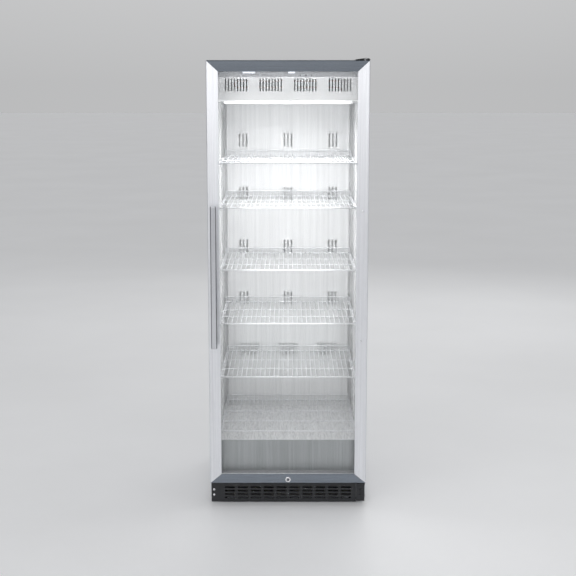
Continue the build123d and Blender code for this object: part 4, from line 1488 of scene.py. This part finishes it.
# --- Cooling ---------------------------------------------------------------------------------------
class REACHIN_OT_compressor(bpy.types.Operator):
    """Welded compressor on its plate, rubber mounts, pipes and tray: profiles turned about the upright
    axis, and circles carried along bent paths"""

    bl_idname = "reachin.compressor"
    bl_label = "Compressor"

    def execute(self, context):
        low, high = span("compressor")
        feet = span("compressor_mounts")
        centre = np.append(feet.mean(0)[:2], 0)
        radius, top, foot = 70 * MM, high[2], low[2] + 3 * MM
        seam = foot + 0.55 * (top - foot)
        angle = np.linspace(0, math.pi / 2, 9)
        crown, dish = 34 * MM, 24 * MM
        dome = np.stack([(radius - 1 * MM) * np.cos(angle) ** 0.55, top - crown * (1 - np.sin(angle))], -1)
        bowl = np.stack([(radius - 2 * MM) * np.sin(angle) ** 0.6, foot + dish * (1 - np.cos(angle))], -1)
        belt = (
            (radius - 1 * MM, seam - 4 * MM),
            (radius + 1.5 * MM, seam - 2.5 * MM),
            (radius + 1.5 * MM, seam + 2.5 * MM),
            (radius - 0.5 * MM, seam + 4 * MM),
        )
        skin = Skin()
        turned(skin, np.concatenate([bowl, belt, dome]), centre, "z", 56)
        half = np.array((84, 60, 0)) * MM
        plate = centre - half + (0, 0, low[2]), centre + half + (0, 0, foot)
        slab(skin, *plate, "z", 14 * MM, 0.6 * MM, 8)
        cover = centre + np.array((68, -22, 70)) * MM, (high[0], centre[1] + 22 * MM, 120 * MM)
        slab(skin, *cover, "x", 5 * MM, 3 * MM, 6, 1)
        finishes = [powder_black(), moulded_black()]
        make_piece("compressor_shell", skin, finishes, "cabinet", ["compressor"], "black_paint", 50)

        skin = Skin()
        bush = 9 * MM
        for x in (feet[0, 0] + bush, feet[1, 0] - bush):
            for y in (feet[0, 1] + bush, feet[1, 1] - bush):
                waist = np.linspace(feet[0, 2], feet[1, 2], 9)
                belly = bush * (0.88 + 0.12 * np.cos((waist - feet[0, 2]) / 3 / MM * math.pi / 2))
                turned(skin, np.stack([belly, waist], -1), (x, y, 0), "z", 20)
        rubber = mount_rubber()
        make_piece("bushes", skin, [rubber], "cabinet", ["compressor_mounts"], "mount_rubber")

        x, y = centre[:2] / MM
        liquid = ((x - 66, y, 100), (30, y, 100), (30, 102, 100), (-58, 102, 100))
        suction = ((x + 20, y, 166), (x + 20, y, 178), (240, y, 178), (240, 290, 178))
        riser = ((240, 290, 176), (240, 290, 188))
        skin = Skin()
        tube(skin, bent(liquid, 12, 7) * MM, 3 * MM, 14)
        tube(skin, bent(suction, 8, 7) * MM, 4 * MM, 14)
        tube(skin, np.array(riser) * MM, 4 * MM, 14)
        make_piece("pipes", skin, [copper()], "cabinet", ["refrigerant_lines"], "copper")

        low, high = span("drain_pan")
        outer = ((4, 0), (2, 1), (0.4, 8), (0, 24), (0, 25.4))
        inner = ((1, 26), (2.2, 25.4), (2.4, 23), (3, 9), (5, 3.4), (7, 3))
        at, rise = middle("drain_pan"), (high - low)[2] / 26
        rings = []
        for inset, level in (*outer, *inner):
            half = (high - low) / 2 - inset * MM
            outline = at[:2] + rounded_outline(half[0], half[1], (12 - inset) * MM, 6)
            rings.append(put(*outline.T, low[2] + level * rise, "z"))
        skin = Skin()
        loft(skin, rings)
        make_piece("tray", skin, [moulded_black()], "cabinet", ["drain_pan"], "black_plastic", 50)

        low, high = span("power_inlet")
        skin = Skin()
        hole = [((low[0] + high[0]) / 2, 73 * MM, 9 * MM, 7 * MM)]
        lines = ((low[0] - 3 * MM, high[0] + 3 * MM), (low[2] - 3 * MM, high[2] + 3 * MM))
        flange = high[1] + 1.2 * MM
        punched_sheet(skin, lay_flat("y", flange, -1), *lines, hole, 10 * MM, 2 * MM, steps=5)
        slab(skin, low + np.array((1, 0, 1)) * MM, high - np.array((1, 8.5, 1)) * MM, "y", 2 * MM, 0.5 * MM)
        for x, z in ((-4, 70), (4, 70), (0, 76)):
            pin = np.array((hole[0][0] + x * MM, high[1] - 9 * MM, z * MM))
            ends = pin + np.array((-1, 0, -2)) * MM, pin + np.array((1, 7, 2)) * MM
            slab(skin, *ends, "y", 0.4 * MM, 0.3 * MM, 3, 1)
        finishes = [moulded_black(), zinc()]
        make_piece("inlet_socket", skin, finishes, "cabinet", ["power_inlet"], "black_plastic")
        return {"FINISHED"}


def coil(name, node, passes, rows, finishes):
    """Finned coil: thin plates side by side, and tubes that go through them in rows, joined at the ends by
    half circles."""
    settings = bpy.context.scene.reachin_cooling
    low, high = span(node)
    bend = 11 * MM
    left, right = low[0] + bend, high[0] - bend
    half = settings.fin_thick / 2
    skin = Skin()
    for x in np.linspace(left + 4 * MM, right - 4 * MM, settings.fins):
        ends = (x - half, low[1], low[2]), (x + half, high[1], high[2] - 2.5 * MM)
        slab(skin, *ends, "x", 1 * MM, 0.45 * half, 2)
    for x in (left, right):
        slab(skin, (x - 1 * MM, low[1], low[2]), (x + 1 * MM, high[1], high[2]), "x", 2 * MM, 0.4 * MM, 3)
    slab(skin, (left, low[1], high[2] - 2 * MM), (right, high[1], high[2]), "z", 2 * MM, 0.4 * MM, 3)
    levels = np.linspace(low[2] + 12 * MM, high[2] - 14 * MM, passes)
    turn = np.linspace(-math.pi / 2, math.pi / 2, 7)
    for y in np.linspace(low[1] + 10 * MM, high[1] - 10 * MM, rows):
        path = []
        for number, z in enumerate(levels):
            ends = (left - 1 * MM, right + 1 * MM)
            ends = ends if number % 2 == 0 else ends[::-1]
            path += [(ends[0], y, z), (ends[1], y, z)]
            if number < passes - 1:
                rise = (levels[number + 1] - z) / 2
                way = 1 if number % 2 == 0 else -1
                out = min(rise, bend - 5 * MM)
                for a in turn[1:-1]:
                    path.append((ends[1] + way * out * math.cos(a), y, z + rise + rise * math.sin(a)))
        tube(skin, path, 3.5 * MM, 8, 1)
    return make_piece(name, skin, finishes, "cabinet", [node], "aluminium", 50)


def fan(name, node, body, radius, hub, wide, finish, tail):
    """Axial fan. Each blade is a lens-shaped section swept from hub to tip: angle = start + sweep share^2
    + chord t, depth = -width sin(chord) t, with thickness proportional to sqrt(1 - t^2)."""
    settings = bpy.context.scene.reachin_cooling
    centre = middle(node)
    front = span(node)[0, 1]
    start = np.array((centre[0], front + 0.1 * MM, centre[2]))
    skin = Skin()
    rise = wide / MM
    cup = np.array(((0, 0.4), (0.7, 0.4), (0.95, 1.6), (1, 4), (1, rise), (0.9, rise))) * (hub, MM)
    turned(skin, cup, start, "y", 32)
    turned(skin, ((2.5 * MM, wide - 1 * MM), (2.5 * MM, wide + tail)), start, "y", 12)
    share = np.linspace(0, 1, 9)[:, None]
    side = np.linspace(-1, 1, 11)
    t = np.concatenate([side, side[-2:0:-1]])[None, :]
    face = np.concatenate([np.ones(11), -np.ones(9)])[None, :]
    reach = hub * 0.92 + (radius - hub * 0.92) * share
    chord = (0.30 + 0.16 * share) * np.where(share > 0.85, 1 - 2.2 * (share - 0.85), 1.0)
    thick = face * 0.7 * MM * np.sqrt(np.maximum(1 - t**2, 0)) * (1.2 - 0.5 * share)
    tilt = wide * 0.42 * (1 - 0.35 * share)
    for blade in range(settings.blades):
        angle = blade * TURN / settings.blades + 0.35 * share**2 + chord * t
        depth = wide / 2 - tilt * t + 1.2 * MM * (1 - t**2) + thick
        rings = put(reach * np.cos(angle), reach * np.sin(angle), depth, "y") + start
        loft(skin, rings)
    return make_piece(name, skin, [finish], body, [node], "black_plastic", 40)


class REACHIN_OT_coils_and_fans(bpy.types.Operator):
    """Condenser, evaporator, their fans, motors and shroud: thin plates, serpentine tubes and swept
    blade sections"""

    bl_idname = "reachin.coils_and_fans"
    bl_label = "Coils and fans"

    def execute(self, context):
        fins, tubes = aluminium(), copper()
        coil("condenser_coil", "condenser", 5, 2, [fins, tubes])
        coil("evaporator_coil", "evaporator", 3, 5, [fins, tubes])
        black = moulded_black()
        fans = (("condenser_fan", 54, 16, 20, black), ("evaporator_fan", 38, 12, 16, white_moulding()))
        for name, radius, hub, wide, finish in fans:
            fan(name, f"{name}_blade", name, radius * MM, hub * MM, wide * MM, finish, 15 * MM)
        for node, radius in (("condenser_fan_motor", 25 * MM), ("evaporator_fan_motor", 20 * MM)):
            low, high = span(node)
            deep = high[1] - low[1]
            shape = (
                (2.6 * MM, 0.2 * MM),
                (radius * 0.35, 0.2 * MM),
                (radius * 0.4, 1.6 * MM),
                (radius * 0.88, 1.6 * MM),
                (radius, 4 * MM),
                (radius, deep * 0.55),
                (radius * 0.96, deep * 0.57),
                (radius * 0.96, deep - 3 * MM),
                (radius * 0.85, deep),
            )
            z = low[2] + radius
            skin = Skin()
            turned(skin, shape, (middle(node)[0], low[1], z), "y", 36)
            if high[2] > z + radius + 1 * MM:
                strut = (-4 * MM, low[1] + 10 * MM, z), (4 * MM, low[1] + 30 * MM, high[2])
                slab(skin, *strut, "z", 1.5 * MM, 0.4 * MM)
            piece = node.replace("fan_motor", "motor")
            make_piece(piece, skin, [black], "cabinet", [node], "black_plastic")
        finish_node("condenser_fan_shroud", galvanised())
        return {"FINISHED"}


# --- Stage -----------------------------------------------------------------------------------------
class REACHIN_OT_stage(bpy.types.Operator):
    """Pale floor, soft studio light and the camera"""

    bl_idname = "reachin.stage"
    bl_label = "Stage"

    def execute(self, context):
        settings = context.scene.reachin_stage
        scene = context.scene
        scene.view_settings.view_transform = "Standard"
        scene.view_settings.look = "None"
        self.make_floor(settings)
        self.make_world(scene, settings.room)
        self.make_lights(scene, settings.lamp_power)
        lens = bpy.data.cameras.new("camera")
        lens.lens = settings.lens
        lens.sensor_width = 36.0
        lens.shift_y = settings.shift
        lens.clip_start, lens.clip_end = 0.05, 200.0
        lens.dof.use_dof = False
        camera = bpy.data.objects.new("camera", lens)
        front = span("door_rail_left")[0, 1]
        camera.location = (0, front - settings.distance, settings.height)
        camera.rotation_euler = (math.pi / 2 - settings.pitch, 0, 0)
        scene.collection.objects.link(camera)
        scene.camera = camera
        return {"FINISHED"}

    def make_floor(self, settings):
        """A level square at z = 0."""
        half = settings.floor_half
        across = np.linspace(-half, half, 25)
        x, y = np.meshgrid(across, across, indexing="ij")
        points = np.stack([x, y, np.full_like(x, -0.0002)], -1).reshape(-1, 3)
        mesh = bpy.data.meshes.new("floor")
        mesh.from_pydata(points.tolist(), [], grid_faces(25, 25).tolist())
        finish = Finish("floor", (0.88, 0.885, 0.895), 0.42)
        cloud = finish.noise((0.8, 0.8, 0.8), 5.0)
        mesh.materials.append(finish.tint(cloud, 0.97, 1.03).polish(cloud, 0.38, 0.48).material)
        floor = bpy.data.objects.new("floor", mesh)
        bpy.context.scene.collection.objects.link(floor)

    def make_world(self, scene, strength):
        """Pale room: brightest a little above eye level, and darker to both sides by half the square of
        the direction's x, so that round metal shows its shape."""
        world = bpy.data.worlds.new("room")
        world.use_nodes = True
        tree = world.node_tree

        def maths(operation, first, *numbers):
            node = tree.nodes.new("ShaderNodeMath")
            node.operation = operation
            tree.links.new(first, node.inputs[0])
            for socket, number in zip(node.inputs[1:], numbers):
                socket.default_value = number
            return node.outputs["Value"]

        background = tree.nodes["Background"]
        direction = tree.nodes.new("ShaderNodeTexCoord")
        split = tree.nodes.new("ShaderNodeSeparateXYZ")
        tree.links.new(direction.outputs["Generated"], split.inputs["Vector"])
        ramp = tree.nodes.new("ShaderNodeValToRGB")
        tree.links.new(maths("MULTIPLY_ADD", split.outputs["Z"], 0.5, 0.5), ramp.inputs["Fac"])
        stops = ((0.0, 0.60), (0.5, 0.635), (0.56, 0.76), (0.75, 0.86), (1.0, 0.70))
        elements = ramp.color_ramp.elements
        while len(elements) < len(stops):
            elements.new(0.5)
        for element, (place, shade) in zip(elements, stops):
            element.position = place
            element.color = (shade * 0.985, shade * 0.99, shade, 1)
        dim = maths("POWER", maths("ABSOLUTE", split.outputs["X"]), 2.0)
        scale = tree.nodes.new("ShaderNodeVectorMath")
        scale.operation = "SCALE"
        tree.links.new(ramp.outputs["Color"], scale.inputs[0])
        tree.links.new(maths("MULTIPLY_ADD", dim, -0.5, 1.0), scale.inputs["Scale"])
        tree.links.new(scale.outputs["Vector"], background.inputs["Color"])
        background.inputs["Strength"].default_value = strength
        scene.world = world

    def make_lights(self, scene, lamp):
        """Large soft boxes: a key at the upper left, a tall one behind the camera that the rails mirror, a
        fill and one behind. Three more work inside: the lamp's strip, one that lights the plenum cover
        from below, and one just behind the door that fills the shelves."""
        low, high = span("lamp_bar")
        mouth = span("front_frame")[0, 1]
        under = ((high + low)[0] / 2, high[1] + 10 * MM, low[2] + 3 * MM)
        boxes = (
            ("key", (-2.9, -3.6, 3.2), (0, 0, 1.1), (2.8, 2.8), 34.0, 180),
            ("front", (-0.5, -6.6, 2.5), (0, 0, 1.5), (4.2, 2.8), 42.0, 180),
            ("fill", (3.4, -2.4, 1.9), (0, 0, 0.9), (2.2, 3.0), 12.0, 180),
            ("back", (1.2, 4.2, 3.2), (0, 0, 1.0), (3.2, 2.6), 40.0, 180),
            ("lamp", under, (0, 0.0, 0.3), (0.4, 0.03), lamp, 140),
            ("header", (0, mouth, 1.38), (0, -0.205, 1.6), ((high - low)[0], 0.016), 0.25 * lamp, 80),
            ("inside", (0, mouth - 2 * MM, 1.0), (0, 0.3, 0.9), (0.36, 1.0), 0.8 * lamp, 180),
        )
        for name, place, aim, size, power, spread in boxes:
            light = bpy.data.lights.new(name, "AREA")
            light.shape = "RECTANGLE"
            light.size, light.size_y = size
            light.energy = power
            light.spread = math.radians(spread)
            box = bpy.data.objects.new(name, light)
            way = np.array(aim) - np.array(place)
            box.location = place
            flat = math.hypot(way[0], way[1])
            box.rotation_euler = (math.atan2(flat, -way[2]), 0, math.atan2(-way[0], way[1]))
            box.visible_camera = False
            scene.collection.objects.link(box)


# --- Add-on ----------------------------------------------------------------------------------------
GROUPS = (
    ("reachin_finishes", FinishSettings),
    ("reachin_door", DoorSettings),
    ("reachin_shelf", ShelfSettings),
    ("reachin_sheet", SheetSettings),
    ("reachin_cooling", CoolingSettings),
    ("reachin_stage", StageSettings),
)
OPERATORS = (
    REACHIN_OT_door_rails,
    REACHIN_OT_glazing,
    REACHIN_OT_handle,
    REACHIN_OT_lock,
    REACHIN_OT_shelves,
    REACHIN_OT_air_panels,
    REACHIN_OT_pilasters,
    REACHIN_OT_controls,
    REACHIN_OT_lamp,
    REACHIN_OT_cabinet,
    REACHIN_OT_kick_plate,
    REACHIN_OT_hinges,
    REACHIN_OT_compressor,
    REACHIN_OT_coils_and_fans,
    REACHIN_OT_stage,
)


class REACHIN_PT_pieces(bpy.types.Panel):
    """Sizes, colours and one button for each piece."""

    bl_idname = "REACHIN_PT_pieces"
    bl_label = "Refrigerator"
    bl_space_type = "VIEW_3D"
    bl_region_type = "UI"
    bl_category = "Refrigerator"

    def draw(self, context):
        layout = self.layout
        for operator in OPERATORS:
            layout.operator(operator.bl_idname)
        for name, group in GROUPS:
            box = layout.box()
            for setting in group.__annotations__:
                box.prop(getattr(context.scene, name), setting)


def register():
    for name, group in GROUPS:
        bpy.utils.register_class(group)
        setattr(bpy.types.Scene, name, bpy.props.PointerProperty(type=group))
    for operator in (*OPERATORS, REACHIN_PT_pieces):
        bpy.utils.register_class(operator)


def unregister():
    for operator in (REACHIN_PT_pieces, *reversed(OPERATORS)):
        bpy.utils.unregister_class(operator)
    for name, group in reversed(GROUPS):
        delattr(bpy.types.Scene, name)
        bpy.utils.unregister_class(group)


def main():
    register()
    for operator in OPERATORS:
        area, name = operator.bl_idname.split(".")
        getattr(getattr(bpy.ops, area), name)()


if __name__ == "__main__":
    main()
